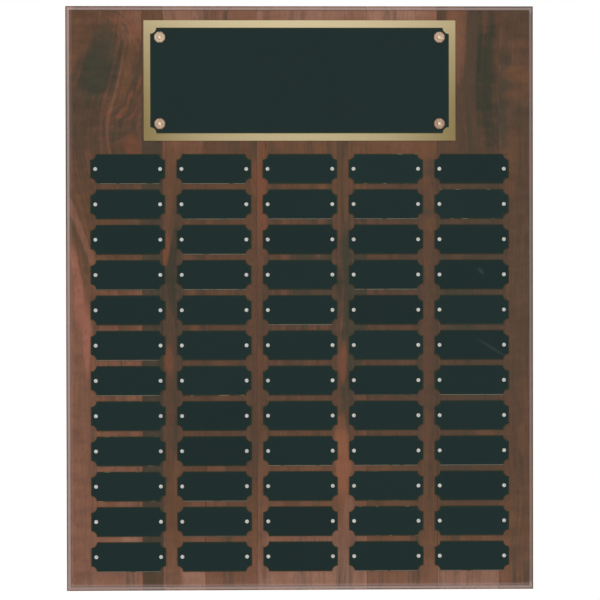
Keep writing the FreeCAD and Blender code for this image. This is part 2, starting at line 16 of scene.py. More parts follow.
import bpy
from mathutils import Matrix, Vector

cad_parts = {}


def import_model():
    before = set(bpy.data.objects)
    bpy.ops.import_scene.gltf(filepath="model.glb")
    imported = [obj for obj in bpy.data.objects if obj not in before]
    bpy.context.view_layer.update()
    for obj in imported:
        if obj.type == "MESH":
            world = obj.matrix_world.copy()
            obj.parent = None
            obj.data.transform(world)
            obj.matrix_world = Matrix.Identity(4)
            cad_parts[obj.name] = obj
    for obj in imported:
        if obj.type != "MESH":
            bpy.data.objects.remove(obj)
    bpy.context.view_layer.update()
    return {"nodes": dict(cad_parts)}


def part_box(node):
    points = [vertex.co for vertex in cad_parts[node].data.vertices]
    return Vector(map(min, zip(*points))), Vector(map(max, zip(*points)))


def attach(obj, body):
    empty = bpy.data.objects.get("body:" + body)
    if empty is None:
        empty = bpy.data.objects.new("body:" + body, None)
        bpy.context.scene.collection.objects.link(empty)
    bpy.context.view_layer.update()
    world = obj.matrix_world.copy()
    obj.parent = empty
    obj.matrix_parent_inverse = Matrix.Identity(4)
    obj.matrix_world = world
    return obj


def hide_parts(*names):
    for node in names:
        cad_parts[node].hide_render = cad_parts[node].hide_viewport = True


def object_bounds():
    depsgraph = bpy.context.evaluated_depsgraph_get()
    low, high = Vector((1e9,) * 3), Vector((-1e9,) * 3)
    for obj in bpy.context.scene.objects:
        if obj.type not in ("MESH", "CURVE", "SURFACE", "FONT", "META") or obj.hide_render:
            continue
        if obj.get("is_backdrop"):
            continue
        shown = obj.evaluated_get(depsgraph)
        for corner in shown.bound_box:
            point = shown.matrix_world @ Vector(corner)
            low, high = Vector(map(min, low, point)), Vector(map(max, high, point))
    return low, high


MM = 0.001
ROOT_BODY = "root"

log = logging.getLogger("plaque")

Colour = tuple[float, float, float, float]
Input = Union[float, Sequence[float], "Signal"]
Test = Callable[[Vector], bool]
EdgeTest = Callable[[Vector, Vector], bool]

WHITE: Colour = (1.0, 1.0, 1.0, 1.0)
WOOD_VEIL = 0.020
BLACK_VEIL = 0.010


def linear(red: int, green: int, blue: int, veil: float = 0.0) -> Colour:
    """A colour as the eye names it, turned into the light that a shader works in.

    Args:
        red: The red of a screen colour, from 0 to 255.
        green: Its green.
        blue: Its blue.
        veil: The light that a shiny coat adds over the colour, which is taken off.

    Returns:
        Red, green, blue and a full alpha, in linear light.
    """
    channels = [value / 255 for value in (red, green, blue)]
    light = [v / 12.92 if v <= 0.04045 else ((v + 0.055) / 1.055) ** 2.4 for v in channels]
    return (*(max(v - veil, 0.001) for v in light), 1.0)


class Signal:
    """The output of a node, with arithmetic that adds Math nodes."""

    def __init__(self, shader: "Shader", socket: Optional[bpy.types.NodeSocket]) -> None:
        """Wrap a socket.

        Args:
            shader: The shader that the socket belongs to.
            socket: The output that the signal stands for, or None behind a shader's last node.
        """
        self.shader = shader
        self.socket = socket

    def also(self, output: Union[int, str]) -> "Signal":
        """Another output of the same node."""
        return Signal(self.shader, self.socket.node.outputs[output])

    def _math(self, operation: str, *values: Input) -> "Signal":
        """Add a Math node on some values."""
        inputs = dict(enumerate(values))
        return self.shader.node("ShaderNodeMath", {"operation": operation}, inputs)

    def __add__(self, other: Input) -> "Signal":
        """This signal plus another."""
        return self._math("ADD", self, other)

    __radd__ = __add__

    def __mul__(self, other: Input) -> "Signal":
        """This signal times another."""
        return self._math("MULTIPLY", self, other)

    __rmul__ = __mul__

    def __sub__(self, other: Input) -> "Signal":
        """This signal less another."""
        return self._math("SUBTRACT", self, other)

    def __rsub__(self, other: float) -> "Signal":
        """A number less this signal."""
        return self._math("SUBTRACT", other, self)

    def __truediv__(self, other: Input) -> "Signal":
        """This signal divided by another."""
        return self._math("DIVIDE", self, other)

    def __rtruediv__(self, other: float) -> "Signal":
        """A number divided by this signal."""
        return self._math("DIVIDE", other, self)

    def __pow__(self, other: float) -> "Signal":
        """This signal to a power."""
        return self._math("POWER", self, other)

    def __abs__(self) -> "Signal":
        """This signal without its sign."""
        return self._math("ABSOLUTE", self)

    def lesser(self, other: Input) -> "Signal":
        """The smaller of this signal and another."""
        return self._math("MINIMUM", self, other)

    def greater(self, other: Input) -> "Signal":
        """The larger of this signal and another."""
        return self._math("MAXIMUM", self, other)

    def floor(self) -> "Signal":
        """The whole number below this signal."""
        return self._math("FLOOR", self)

    def cosine(self) -> "Signal":
        """The cosine of this signal, in radians."""
        return self._math("COSINE", self)

    def turn_from(self, other: "Signal") -> "Signal":
        """The angle of a place in radians, this signal being its height and the other across."""
        return self._math("ARCTAN2", self, other)

    def eased(self, low: float, high: float) -> "Signal":
        """This signal as a soft step: 0 at low and 1 at high, whichever of them is larger.

        Args:
            low: The value that gives 0.
            high: The value that gives 1.

        Returns:
            A signal from 0 to 1.
        """
        inputs: dict[Union[int, str], Input] = {"Value": self, "From Min": low, "From Max": high}
        if low > high:
            inputs.update({"From Min": high, "From Max": low, "To Min": 1.0, "To Max": 0.0})
        settings = {"interpolation_type": "SMOOTHSTEP"}
        return self.shader.node("ShaderNodeMapRange", settings, inputs)

    def band(self, low: float, high: float, edge: float) -> "Signal":
        """1 between two values and 0 outside them, over soft edges of a width."""
        return self.eased(low - edge, low + edge) * self.eased(high + edge, high - edge)

    def mixed(self, share: Input, other: Input) -> "Signal":
        """This colour with a share of another."""
        return self.shader.mix(share, self, other)

    def dimmed(self, level: "Signal") -> "Signal":
        """This colour times a level."""
        inputs = {0: self, "Scale": level}
        return self.shader.node("ShaderNodeVectorMath", {"operation": "SCALE"}, inputs)


@dataclass(frozen=True)
class Place:
    """A point of the surface, in millimetres: across the board, in depth and up."""

    shader: "Shader"
    x: Signal
    y: Signal
    z: Signal


@dataclass(frozen=True)
class Cells:
    """The cells of a soft noise: how wide, deep and tall they are, in millimetres.

    detail is how many finer octaves the noise has, and roughness how strong they are.
    """

    width: float
    depth: float
    height: float
    detail: float = 2.0
    roughness: float = 0.5

    def at(self, place: Place, seed: float = 0.0) -> Signal:
        """The noise at a place.

        Args:
            place: The place.
            seed: How many cells the noise is moved aside.

        Returns:
            The noise from 0 to 1, mostly between 0.25 and 0.75.
        """
        aside = place.x / self.width + seed
        vector = place.shader.vector(aside, place.y / self.depth, place.z / self.height)
        return place.shader.noise(vector, self.detail, self.roughness)


class Shader:
    """The nodes of one material or of the world."""

    def __init__(self, owner: Union[bpy.types.Material, bpy.types.World]) -> None:
        """Start an empty node tree.

        Args:
            owner: The material or world whose nodes these are.
        """
        owner.use_nodes = True
        self.tree = owner.node_tree
        self.tree.nodes.clear()
        self.last_node = f"ShaderNodeOutput{type(owner).__name__}"

    def node(
        self,
        kind: str,
        settings: Optional[Mapping[str, Any]] = None,
        inputs: Optional[Mapping[Union[int, str], Input]] = None,
        output: Union[int, str] = 0,
    ) -> Signal:
        """Add a node.

        Args:
            kind: The node's type.
            settings: Its properties, such as an operation. "stops" are a ramp's places and colours.
            inputs: Values or signals for its sockets, by name or number.
            output: The output that is wanted, by name or number.

        Returns:
            That output as a signal.
        """
        made = self.tree.nodes.new(kind)
        for name, value in (settings or {}).items():
            if name == "stops":
                self._set_stops(made.color_ramp, value)
            else:
                setattr(made, name, value)
        for name, value in (inputs or {}).items():
            if isinstance(value, Signal):
                self.tree.links.new(value.socket, made.inputs[name])
            else:
                made.inputs[name].default_value = value
        return Signal(self, made.outputs[output] if made.outputs else None)

    @staticmethod
    def _set_stops(ramp: bpy.types.ColorRamp, stops: Sequence[tuple[float, Colour]]) -> None:
        """Give a colour ramp its stops.

        Args:
            ramp: The colour ramp.
            stops: Its places and colours, in rising order of place.
        """
        while len(ramp.elements) > 1:
            ramp.elements.remove(ramp.elements[-1])
        for index, (place, colour) in enumerate(stops):
            element = ramp.elements[0] if index == 0 else ramp.elements.new(place)
            element.position = place
            element.color = colour

    def place(self) -> Place:
        """The surface point's place.

        Returns:
            The place, in millimetres.
        """
        inputs = {0: self.node("ShaderNodeTexCoord", output="Object"), "Scale": 1 / MM}
        scaled = self.node("ShaderNodeVectorMath", {"operation": "SCALE"}, inputs)
        return Place(self, *self.split(scaled))

    def facing(self) -> tuple[Signal, Signal, Signal]:
        """The surface's normal, as X, Y and Z."""
        return self.split(self.node("ShaderNodeTexCoord", output="Normal"))

    def split(self, vector: Signal) -> tuple[Signal, Signal, Signal]:
        """The three parts of a vector."""
        first = self.node("ShaderNodeSeparateXYZ", inputs={0: vector})
        return first, first.also(1), first.also(2)

    def vector(self, x: Input, y: Input, z: Input) -> Signal:
        """A vector of three parts."""
        return self.node("ShaderNodeCombineXYZ", inputs={0: x, 1: y, 2: z})

    def noise(self, vector: Signal, detail: float = 2.0, roughness: float = 0.5) -> Signal:
        """Soft noise from 0 to 1, with cells about as large as a unit of the vector.

        Args:
            vector: The place to read the noise at.
            detail: How many finer octaves it has.
            roughness: How strong the finer octaves are.

        Returns:
            The noise, mostly between 0.25 and 0.75.
        """
        inputs = {"Vector": vector, "Scale": 1.0, "Detail": detail, "Roughness": roughness}
        return self.node("ShaderNodeTexNoise", inputs=inputs)

    def mix(self, factor: Input, first: Input, second: Input) -> Signal:
        """A colour between two others: the first at a factor of 0, the second at 1."""
        settings = {"data_type": "RGBA", "clamp_factor": True}
        return self.node("ShaderNodeMix", settings, {0: factor, 6: first, 7: second}, 2)

    def bump(self, height: Signal, strength: float, distance: float) -> Signal:
        """A normal that follows a height.

        Args:
            height: The height, from 0 to 1.
            strength: How much of the effect shows.
            distance: What a height of 1 stands for, in millimetres.

        Returns:
            The bent normal.
        """
        inputs = {"Height": height, "Strength": strength, "Distance": distance * MM}
        return self.node("ShaderNodeBump", inputs=inputs)

    def surface(self, shader: Signal) -> None:
        """Use a shader as what shows."""
        self.node(self.last_node, inputs={"Surface": shader})


class Finish(ABC):
    """How a surface looks."""

    title: str
    slot: str

    def material(self) -> bpy.types.Material:
        """Make a material with this finish.

        Returns:
            The new material.
        """
        made = bpy.data.materials.new(self.title)
        shader = Shader(made)
        shader.surface(self.shade(shader))
        return made

    @abstractmethod
    def shade(self, shader: Shader) -> Signal:
        """Add the finish's nodes.

        Args:
            shader: The nodes to add to.

        Returns:
            The shader's output.
        """


class Walnut(Enum):
    """Tones of walnut as they show under the lacquer, from dark to pale, with warm ones last."""

    INK = (54, 56, 47)
    OLIVE = (63, 61, 51)
    BOG = (71, 63, 53)
    UMBER = (79, 64, 53)
    EARTH = (85, 65, 53)
    BROWN = (92, 68, 53)
    CHESTNUT = (102, 73, 55)
    HAZEL = (115, 80, 63)
    FAWN = (125, 88, 72)
    ROSE = (134, 98, 82)
    PEACH = (147, 108, 91)
    SALMON = (143, 94, 80)
    RUSSET = (120, 75, 56)
    AMBER = (138, 89, 66)

    @property
    def light(self) -> Colour:
        """The tone in linear light, without what the lacquer's shine adds."""
        return linear(*self.value, veil=WOOD_VEIL)


@dataclass(frozen=True)
class Flame:
    """A soft stain or pale flame in the wood, longer along the grain. Sizes in millimetres."""

    x: float
    z: float
    half_width: float
    half_height: float
    tone: Walnut
    strength: float = 0.8


@dataclass(frozen=True)
class Bow:
    """A place where the grain bows sideways. Its sizes are in millimetres."""

    shift: float
    z: float
    reach: float


@dataclass(frozen=True)
class Eye:
    """A place that the grain rings on its right, out to a reach. Its sizes are in millimetres.

    squeeze is what a height counts for beside a width, so that below 1 the rings stand upright.
    waver is how often the rings break along their way, and fade the share of the reach over which
    they come in. Each pair is the two values between which a thing comes in: the right side, the
    red rings and the dark ones.
    """

    x: float
    z: float
    near: float
    reach: float
    ring: float = 3.0
    strength: float = 0.7
    squeeze: float = 0.8
    waver: float = 2.5
    fade: float = 0.3
    side: tuple[float, float] = (-0.3, 0.5)
    red: tuple[float, float] = (0.50, 0.62)
    dark: tuple[float, float] = (0.46, 0.34)


@dataclass(frozen=True)
class Streaks:
    """One scale of the wood's figure: how wide and long its streaks are, and its finer octaves."""

    width: float
    length: float
    detail: float


BROAD_FIGURE = Streaks(15.0, 240.0, 2.0)
FINE_FIGURE = Streaks(4.4, 120.0, 3.0)
FIBRES = Streaks(0.9, 30.0, 2.0)
PORES = Streaks(0.36, 6.0, 1.0)


@dataclass(frozen=True)
class Moulding:
    """The board's edge moulding, a ledge and a cove, with painted highlights and painted shade on
    it.

    Sizes are in millimetres. pale is the colour of a painted highlight in the cove's hollow and on
    the flat beside it, standing in for the lacquer's reflection there, and the arris between them
    gets painted shade. pooled is how strong the cove's painted highlight is, and how much stronger
    at the foot, the left and the head, up to a most. haze_width is how wide the flat's painted
    highlight is, and haze_foot and haze_left how strong it is at the foot and the left. corner is
    how dark the painted shade on the arris is, and corner_head how much darker along the head.
    side_reach is how far in a side's own share fades out. Each soft is how soft the edges of a
    thing are, and short how far the hollow ends before the arris.
    """

    half_width: float = 203.2
    half_height: float = 254.0
    thickness: float = 19.05
    ledge: float = 0.9
    cove: float = 3.2
    # Colour of the painted highlights in the cove and on the flat beside it.
    pale: Colour = linear(180, 160, 154)
    pooled: float = 0.34
    pooled_foot: float = 0.34
    pooled_left: float = 0.34
    pooled_head: float = 0.16
    pooled_most: float = 0.68
    haze_width: float = 2.0
    haze_foot: float = 0.26
    haze_left: float = 0.10
    corner: float = 0.08
    corner_head: float = 0.5
    side_reach: float = 4.0
    short: float = 0.6
    hollow_soft: float = 0.4
    haze_soft: float = 1.2
    corner_soft: float = 0.25
    front_soft: float = 0.1

    def lay(self, tone: Signal, place: Place) -> Signal:
        """The wood's tone with a painted highlight in the cove's hollow and on the flat beside it,
        and painted shade on the arris.

        Args:
            tone: The wood's tone.
            place: The place on the board.

        Returns:
            The tone with the moulding.
        """
        brow = self.ledge + self.cove
        brow_end = brow + self.side_reach
        ledge_face = self.cove - self.thickness
        inward = (self.half_width - abs(place.x)).lesser(self.half_height - abs(place.z))
        front = place.y.eased(ledge_face + self.front_soft, ledge_face - self.front_soft)
        # Masks of painted light: a highlight in the cove's hollow and on the flat beside it, and
        # shade on the arris.
        hollow = inward.band(self.ledge, brow - self.short, self.hollow_soft) * front
        flat_highlight = inward.band(brow, brow + self.haze_width, self.haze_soft) * front
        corner = inward.band(brow - 0.4, brow + 0.5, self.corner_soft) * front
        foot = (place.z + self.half_height).eased(brow_end, brow)
        head = (self.half_height - place.z).eased(brow_end, brow)
        left = (place.x + self.half_width).eased(brow_end, brow)
        # Painted highlight strength, stronger along the foot, the left and the head.
        pooled = foot * self.pooled_foot + left * self.pooled_left + head * self.pooled_head
        pooled = (pooled + self.pooled).lesser(self.pooled_most)
        flat_highlight_share = foot * self.haze_foot + left * self.haze_left
        # Painted shade on the arris, darker along the head.
        dark = head * self.corner_head + self.corner
        tone = tone.mixed(hollow * pooled, self.pale).mixed(flat_highlight * flat_highlight_share, self.pale)
        return tone.mixed(corner * dark, Walnut.BOG.light)


@dataclass(frozen=True)
class WalnutFinish(Finish):
    """One stave of clear-lacquered walnut, with the figure of its own plank.

    The figure's sizes are in millimetres. ground gives the main tone at rising shares of the
    board's height. On most staves it runs paler towards the foot, and on several towards the head.
    That is partly the wood's own tone and partly painted light: the lacquer's brighter reflection
    there. The pith is where the growth rings centre, from the stave's own middle. A flame's place
    is told across the grain, so that a bow moves it as it moves the grain. darker and paler are how
    strongly the figure pulls the tone to the dark and the pale one. Each shade is how much a thing
    dims the wood, and each edge the two values between which it comes in.
    """

    seed: float
    ground: tuple[tuple[float, Walnut], ...]
    dark: Walnut = Walnut.OLIVE
    pale: Walnut = Walnut.HAZEL
    contrast: float = 1.0
    bows: tuple[Bow, ...] = ()
    sway: float = 8.0
    curl: float = 0.4
    pith: tuple[float, float] = (120.0, 90.0)
    flames: tuple[Flame, ...] = ()
    eyes: tuple[Eye, ...] = ()
    left: float = -20.0
    right: float = 20.0
    moulding: Moulding = Moulding()
    sway_cells: Cells = Cells(70.0, 70.0, 110.0, 1.0)
    curl_cells: Cells = Cells(20.0, 20.0, 9.0)
    darker: float = 6.5
    paler: float = 5.2
    figure_shares: tuple[float, float, float] = (0.40, 0.42, 0.18)
    ground_waver: float = 0.08
    flame_edge: tuple[float, float] = (1.45, 0.15)
    flame_rag: tuple[float, float] = (2.2, 1.6)
    pore_edge: tuple[float, float] = (0.60, 0.70)
    pore_shade: float = 0.32
    fibre_shade: float = 0.24
    glue_edge: tuple[float, float] = (0.25, 0.05)
    glue_shade: float = 0.28
    end_edge: tuple[float, float] = (0.75, 0.98)
    end_shade: float = 0.3
    roughness: float = 0.40
    fibre_roughness: float = 0.10
    pore_roughness: float = 0.12
    title: str = "lacquered_walnut"
    slot: str = "walnut"

    def shade(self, shader: Shader) -> Signal:
        """Lay the figure, its flames, the pores, the glue lines, the moulding and the lacquer.

        Args:
            shader: The nodes to add to.

        Returns:
            The shader's output.
        """
        place = shader.place()
        grain = self.grain(place)
        broad = self.figure(grain, BROAD_FIGURE)
        fine = self.figure(grain, FINE_FIGURE)
        fibres = self.figure(grain, FIBRES)
        pores = self.figure(grain, PORES).eased(*self.pore_edge)
        curl = self.curl_cells.at(grain, self.seed)
        tone = self.plank_tone(place, broad, fine, fibres)
        tone = self.with_flames(tone, grain, fine, curl)
        tone = self.with_eyes(tone, place)
        level = 1.0 - pores * self.pore_shade
        level = level * (fibres * self.fibre_shade + (1.0 - self.fibre_shade / 2))
        level = level * ((curl - 0.5) * self.curl + 1.0)
        level = level * (1.0 - self.glue_line(place.x) * self.glue_shade)
        level = level * (1.0 - self.end_grain(shader) * self.end_shade)
        rough = fibres * self.fibre_roughness + pores * self.pore_roughness
        return shader.node(
            "ShaderNodeBsdfPrincipled",
            inputs={
                "Base Color": self.moulding.lay(tone.dimmed(level), place),
                "Roughness": rough + self.roughness,
                "Specular IOR Level": 0.15,
                "Coat Weight": 0.25,
                "Coat Roughness": 0.18,
                "Normal": shader.bump(fibres * 0.4 - pores * 0.6, 0.35, 0.05),
            },
        )

    def grain(self, place: Place) -> Place:
        """The place as the grain has it, which the bows and a slow sway move aside.

        Args:
            place: The place on the board.

        Returns:
            The same place, its X told across the grain.
        """
        across = place.x + (self.sway_cells.at(place, self.seed) - 0.5) * (self.sway * 2.0)
        for bow in self.bows:
            distance = (place.z - bow.z) / bow.reach
            across = across - (distance * distance + 1.0) ** -2.0 * bow.shift
        return replace(place, x=across)

    def figure(self, grain: Place, streaks: Streaks) -> Signal:
        """Streaks that follow the growth rings round the pith.

        Args:
            grain: The place across the grain.
            streaks: The streaks' scale.

        Returns:
            The streaks, from 0 to 1.
        """
        pith_x, pith_y = self.pith
        aside = grain.x - ((self.left + self.right) / 2 + pith_x)
        deep = grain.y - pith_y
        ring = (aside * aside + deep * deep) ** 0.5
        vector = grain.shader.vector(
            ring / streaks.width + self.seed * 7.0,
            aside / (streaks.width * 6.0),
            grain.z / streaks.length + self.seed,
        )
        return grain.shader.noise(vector, streaks.detail)

    def plank_tone(self, place: Place, broad: Signal, fine: Signal, fibres: Signal) -> Signal:
        """The stave's main tone, darker and paler by its figure.

        Args:
            place: The place on the board.
            broad: The broad figure.
            fine: The fine figure.
            fibres: The fibres.

        Returns:
            The tone.
        """
        share = place.z / (self.moulding.half_height * 2) + 0.5 + (fine - 0.5) * self.ground_waver
        # The ground's stops hold painted light as well as the wood's tone: paler towards the foot
        # for the lacquer's brighter reflection there.
        stops = [(height, tone.light) for height, tone in self.ground]
        ground = place.shader.node("ShaderNodeValToRGB", {"stops": stops}, {"Fac": share})
        by_broad, by_fine, by_fibres = self.figure_shares
        figure = broad * by_broad + fine * by_fine + fibres * by_fibres
        darker = (0.5 - figure) * (self.darker * self.contrast)
        paler = (figure - 0.5) * (self.paler * self.contrast)
        return ground.mixed(darker, self.dark.light).mixed(paler, self.pale.light)

    def with_flames(self, tone: Signal, grain: Place, fine: Signal, curl: Signal) -> Signal:
        """The tone with the stave's flames laid over it, their edges drawn out along the grain.

        Args:
            tone: The wood's tone.
            grain: The place across the grain.
            fine: The fine figure, which makes the flames' edges ragged.
            curl: The curl, which does so too.

        Returns:
            The tone with the flames.
        """
        by_fine, by_curl = self.flame_rag
        ragged = (fine - 0.5) * by_fine + (curl - 0.5) * by_curl
        for flame in self.flames:
            aside = (grain.x - flame.x) / flame.half_width
            along = (grain.z - flame.z) / flame.half_height
            far = aside * aside + along * along + ragged
            tone = tone.mixed(far.eased(*self.flame_edge) * flame.strength, flame.tone.light)
        return tone

    def with_eyes(self, tone: Signal, place: Place) -> Signal:
        """The tone with broken rings, red and dark by turns, on the right of each eye.

        Args:
            tone: The wood's tone.
            place: The place on the board.

        Returns:
            The tone with the rings.
        """
        for eye in self.eyes:
            aside = place.x - eye.x
            along = (place.z - eye.z) * eye.squeeze
            radius = (aside * aside + along * along) ** 0.5 + 0.1
            turned = (aside / radius * eye.waver, along / radius * eye.waver)
            strokes = place.shader.noise(place.shader.vector(radius / eye.ring, *turned), 3.0)
            soft = (eye.reach - eye.near) * eye.fade
            zone = radius.band(eye.near + soft, eye.reach - soft, soft) * eye.strength
            zone = zone * (aside / radius).eased(*eye.side)
            tone = tone.mixed(strokes.eased(*eye.red) * zone, Walnut.RUSSET.light)
            tone = tone.mixed(strokes.eased(*eye.dark) * zone, Walnut.BOG.light)
        return tone

    def glue_line(self, x: Signal) -> Signal:
        """A hairline at each side of the stave."""
        return (x - self.left).lesser(self.right - x).eased(*self.glue_edge)

    def end_grain(self, shader: Shader) -> Signal:
        """1 on the sawn ends, which drink more lacquer, and 0 elsewhere."""
        _, _, up = shader.facing()
        return abs(up).eased(*self.end_edge)


@dataclass(frozen=True)
class Smudge:
    """A faint smear on the black lacquer. Its sizes are in millimetres."""

    x: float
    z: float
    half_width: float
    half_height: float
    slant: float
    strength: float


@dataclass(frozen=True)
class BlackBrassFinish(Finish):
    """Sheet brass under satin black lacquer, thin at the rim and bare on the sheared edges.

    The plates stand in a grid of a pitch, from the middle of one of them. Each has a number of its
    own, from 0 to 1. It has bright spots of bare brass along its top and bottom where that number
    is past spotted. These are chips in the lacquer, laid where the edges catch light, so they are
    painted glints as well. It has a pale line at its bottom where that number lies within lined,
    which is a painted reflection of the plate's lower edge. Each edge is the two values between
    which a thing comes in: distances inside the outline for thin_edge and worn_edge, and how much a
    face still faces the front for sheared_edge. Sizes are in millimetres.
    """

    half_width: float
    half_height: float
    scoop: float
    pitch: tuple[float, float]
    middle: tuple[float, float]
    smudges: tuple[Smudge, ...] = ()
    lacquer: Colour = linear(36, 48, 47, veil=BLACK_VEIL)
    thin: Colour = linear(58, 58, 42, veil=BLACK_VEIL)
    bare: Colour = linear(150, 130, 84)
    # Colour of the painted reflection in a pale line along some plates' bottom edges.
    worn: Colour = linear(140, 134, 122)
    smear: Colour = linear(92, 100, 92)
    cloud_cells: Cells = Cells(26.0, 1.0, 16.0)
    wipe_cells: Cells = Cells(12.0, 1.0, 0.4)
    wear_cells: Cells = Cells(9.0, 1.0, 9.0, 3.0, 0.6)
    roughness: float = 0.44
    wipe_roughness: float = 0.14
    cloud_roughness: float = 0.06
    own_share: float = 0.16
    cloud_share: float = 0.16
    thin_share: float = 0.55
    thin_edge: tuple[float, float] = (1.5, 0.1)
    worn_edge: tuple[float, float] = (0.5, 0.3)
    sheared_edge: tuple[float, float] = (0.55, 0.30)
    smudge_edge: tuple[float, float] = (1.2, 0.1)
    spotted: tuple[float, float] = (0.86, 0.90)
    spot_edge: tuple[float, float] = (0.54, 0.60)
    spot_share: float = 0.8
    lined: tuple[float, float] = (0.35, 0.62)
    line_edge: tuple[float, float] = (0.30, 0.50)
    line_share: float = 0.7
    title: str = "black_lacquered_brass"
    slot: str = "black_brass"

    def shade(self, shader: Shader) -> Signal:
        """Lay the lacquer, each plate a little different, its thin rim and the painted glints at
        its edges.

        Args:
            shader: The nodes to add to.

        Returns:
            The shader's output.
        """
        place = shader.place()
        column, row, local = self.cell(place)
        where = shader.vector(column, row, 0.0)
        own = shader.node("ShaderNodeTexWhiteNoise", {"noise_dimensions": "2D"}, {"Vector": where})
        cloud = self.cloud_cells.at(place)
        wipes = self.wipe_cells.at(place)
        level = own * self.own_share + cloud * self.cloud_share + (1.0 - self.own_share)
        shown = shader.mix(self.rim(local) * self.thin_share, self.lacquer, self.thin)
        shown = shown.dimmed(level)
        shown = self.with_worn_edges(shown, local, self.wear_cells.at(replace(place, y=row)), own)
        for smudge in self.smudges:
            shown = self.with_smudge(shown, smudge, place, cloud)
        _, front, _ = shader.facing()
        side = abs(front).eased(*self.sheared_edge)
        rough = wipes * self.wipe_roughness + cloud * self.cloud_roughness
        return shader.node(
            "ShaderNodeBsdfPrincipled",
            inputs={
                "Base Color": shown.mixed(side, self.bare),
                "Metallic": side,
                "Roughness": rough + self.roughness,
                "Specular IOR Level": 0.1,
                "Normal": shader.bump(wipes, 0.05, 0.02),
            },
        )

    def cell(self, place: Place) -> tuple[Signal, Signal, Place]:
        """Which plate a place is on, and the place from that plate's middle.

        Args:
            place: The place on the board.

        Returns:
            The plate's column, its row, and the place with its X and Z from the plate's middle.
        """
        middle_x, middle_z = self.middle
        pitch_x, pitch_z = self.pitch
        column = ((place.x - middle_x) / pitch_x + 0.5).floor()
        row = ((place.z - middle_z) / pitch_z + 0.5).floor()
        local_x = place.x - middle_x - column * pitch_x
        local_z = place.z - middle_z - row * pitch_z
        return column, row, replace(place, x=local_x, z=local_z)

    def with_worn_edges(self, tone: Signal, local: Place, streaks: Signal, own: Signal) -> Signal:
        """The lacquer with painted glints at the edges of some plates.

        A few have bright spots of bare brass along the top and bottom, chips in the lacquer that
        also stand for glints. More have a pale line at the bottom, a painted reflection of the
        plate's lower edge.

        Args:
            tone: The lacquer's tone.
            local: The place from the plate's middle.
            streaks: Soft noise that breaks the painted glints up.
            own: The plate's own number.

        Returns:
            The tone with the painted glints.
        """
        # Painted glints: spots of bare brass at the top and bottom, and a pale reflected line at
        # the bottom.
        at_edge = (self.half_height - abs(local.z)).eased(*self.worn_edge)
        at_bottom = (local.z + self.half_height).eased(*self.worn_edge)
        spots = at_edge * own.eased(*self.spotted) * streaks.eased(*self.spot_edge)
        line = at_bottom * own.band(*self.lined, 0.02) * streaks.eased(*self.line_edge)
        tone = tone.mixed(line * self.line_share, self.worn)
        return tone.mixed(spots * self.spot_share, self.bare)

    def rim(self, local: Place) -> Signal:
        """The plate's rim, its scooped corners included.

        Args:
            local: The place from the plate's middle.

        Returns:
            1 at the plate's outline, and 0 a little inside it.
        """
        to_side = self.half_width - abs(local.x)
        to_top = self.half_height - abs(local.z)
        to_corner = (to_side * to_side + to_top * to_top) ** 0.5 - self.scoop
        return to_side.lesser(to_top).lesser(to_corner).eased(*self.thin_edge)

    def with_smudge(self, tone: Signal, smudge: Smudge, place: Place, cloud: Signal) -> Signal:
        """The lacquer with one faint smear on it.

        Args:
            tone: The lacquer's tone.
            smudge: The smear.
            place: The place on the board.
            cloud: Soft noise, which makes the smear's edge uneven.

        Returns:
            The tone with the smear.
        """
        up = place.z - smudge.z
        aside = (place.x - smudge.x + up * smudge.slant) / smudge.half_width
        along = up / smudge.half_height
        far = aside * aside + along * along + (cloud - 0.5)
        return tone.mixed(far.eased(*self.smudge_edge) * smudge.strength, self.smear)


class Brushing(Enum):
    """Which way a sheet is brushed, as the cells of its strokes."""

    ACROSS = Cells(22.0, 1.3, 0.16, 2.0, 0.6)
    NONE = Cells(1.3, 1.3, 1.3, 2.0, 0.6)


@dataclass(frozen=True)
class Sheen:
    """A painted highlight on a satin sheet: a paler colour, metal, laid on more at its top than at
    its foot, and more in its middle.

    corner_share is how much more of it the top corners get than the lower ones, and corner_power
    how late that sets in on the way up. foot_share and top_share are how much more of it the middle
    gets than the corners there, and stroke_share is how much the strokes break it up. Sizes are in
    millimetres.
    """

    metal: Colour
    foot: float
    top: float
    side: float
    corner_share: float = 0.55
    corner_power: float = 1.6
    foot_share: float = 0.65
    top_share: float = 0.41
    stroke_share: float = 0.3

    def at(self, place: Place) -> Signal:
        """How much of the painted highlight shows at a place.

        Args:
            place: The place on the board.

        Returns:
            The share, from 0 to 1.
        """
        up = ((place.z - self.foot) / (self.top - self.foot)).greater(0.0)
        bowed = place.x / self.side
        middle = up * (self.top_share - self.foot_share) + self.foot_share
        return up ** self.corner_power * self.corner_share + middle * (1.0 - bowed * bowed)


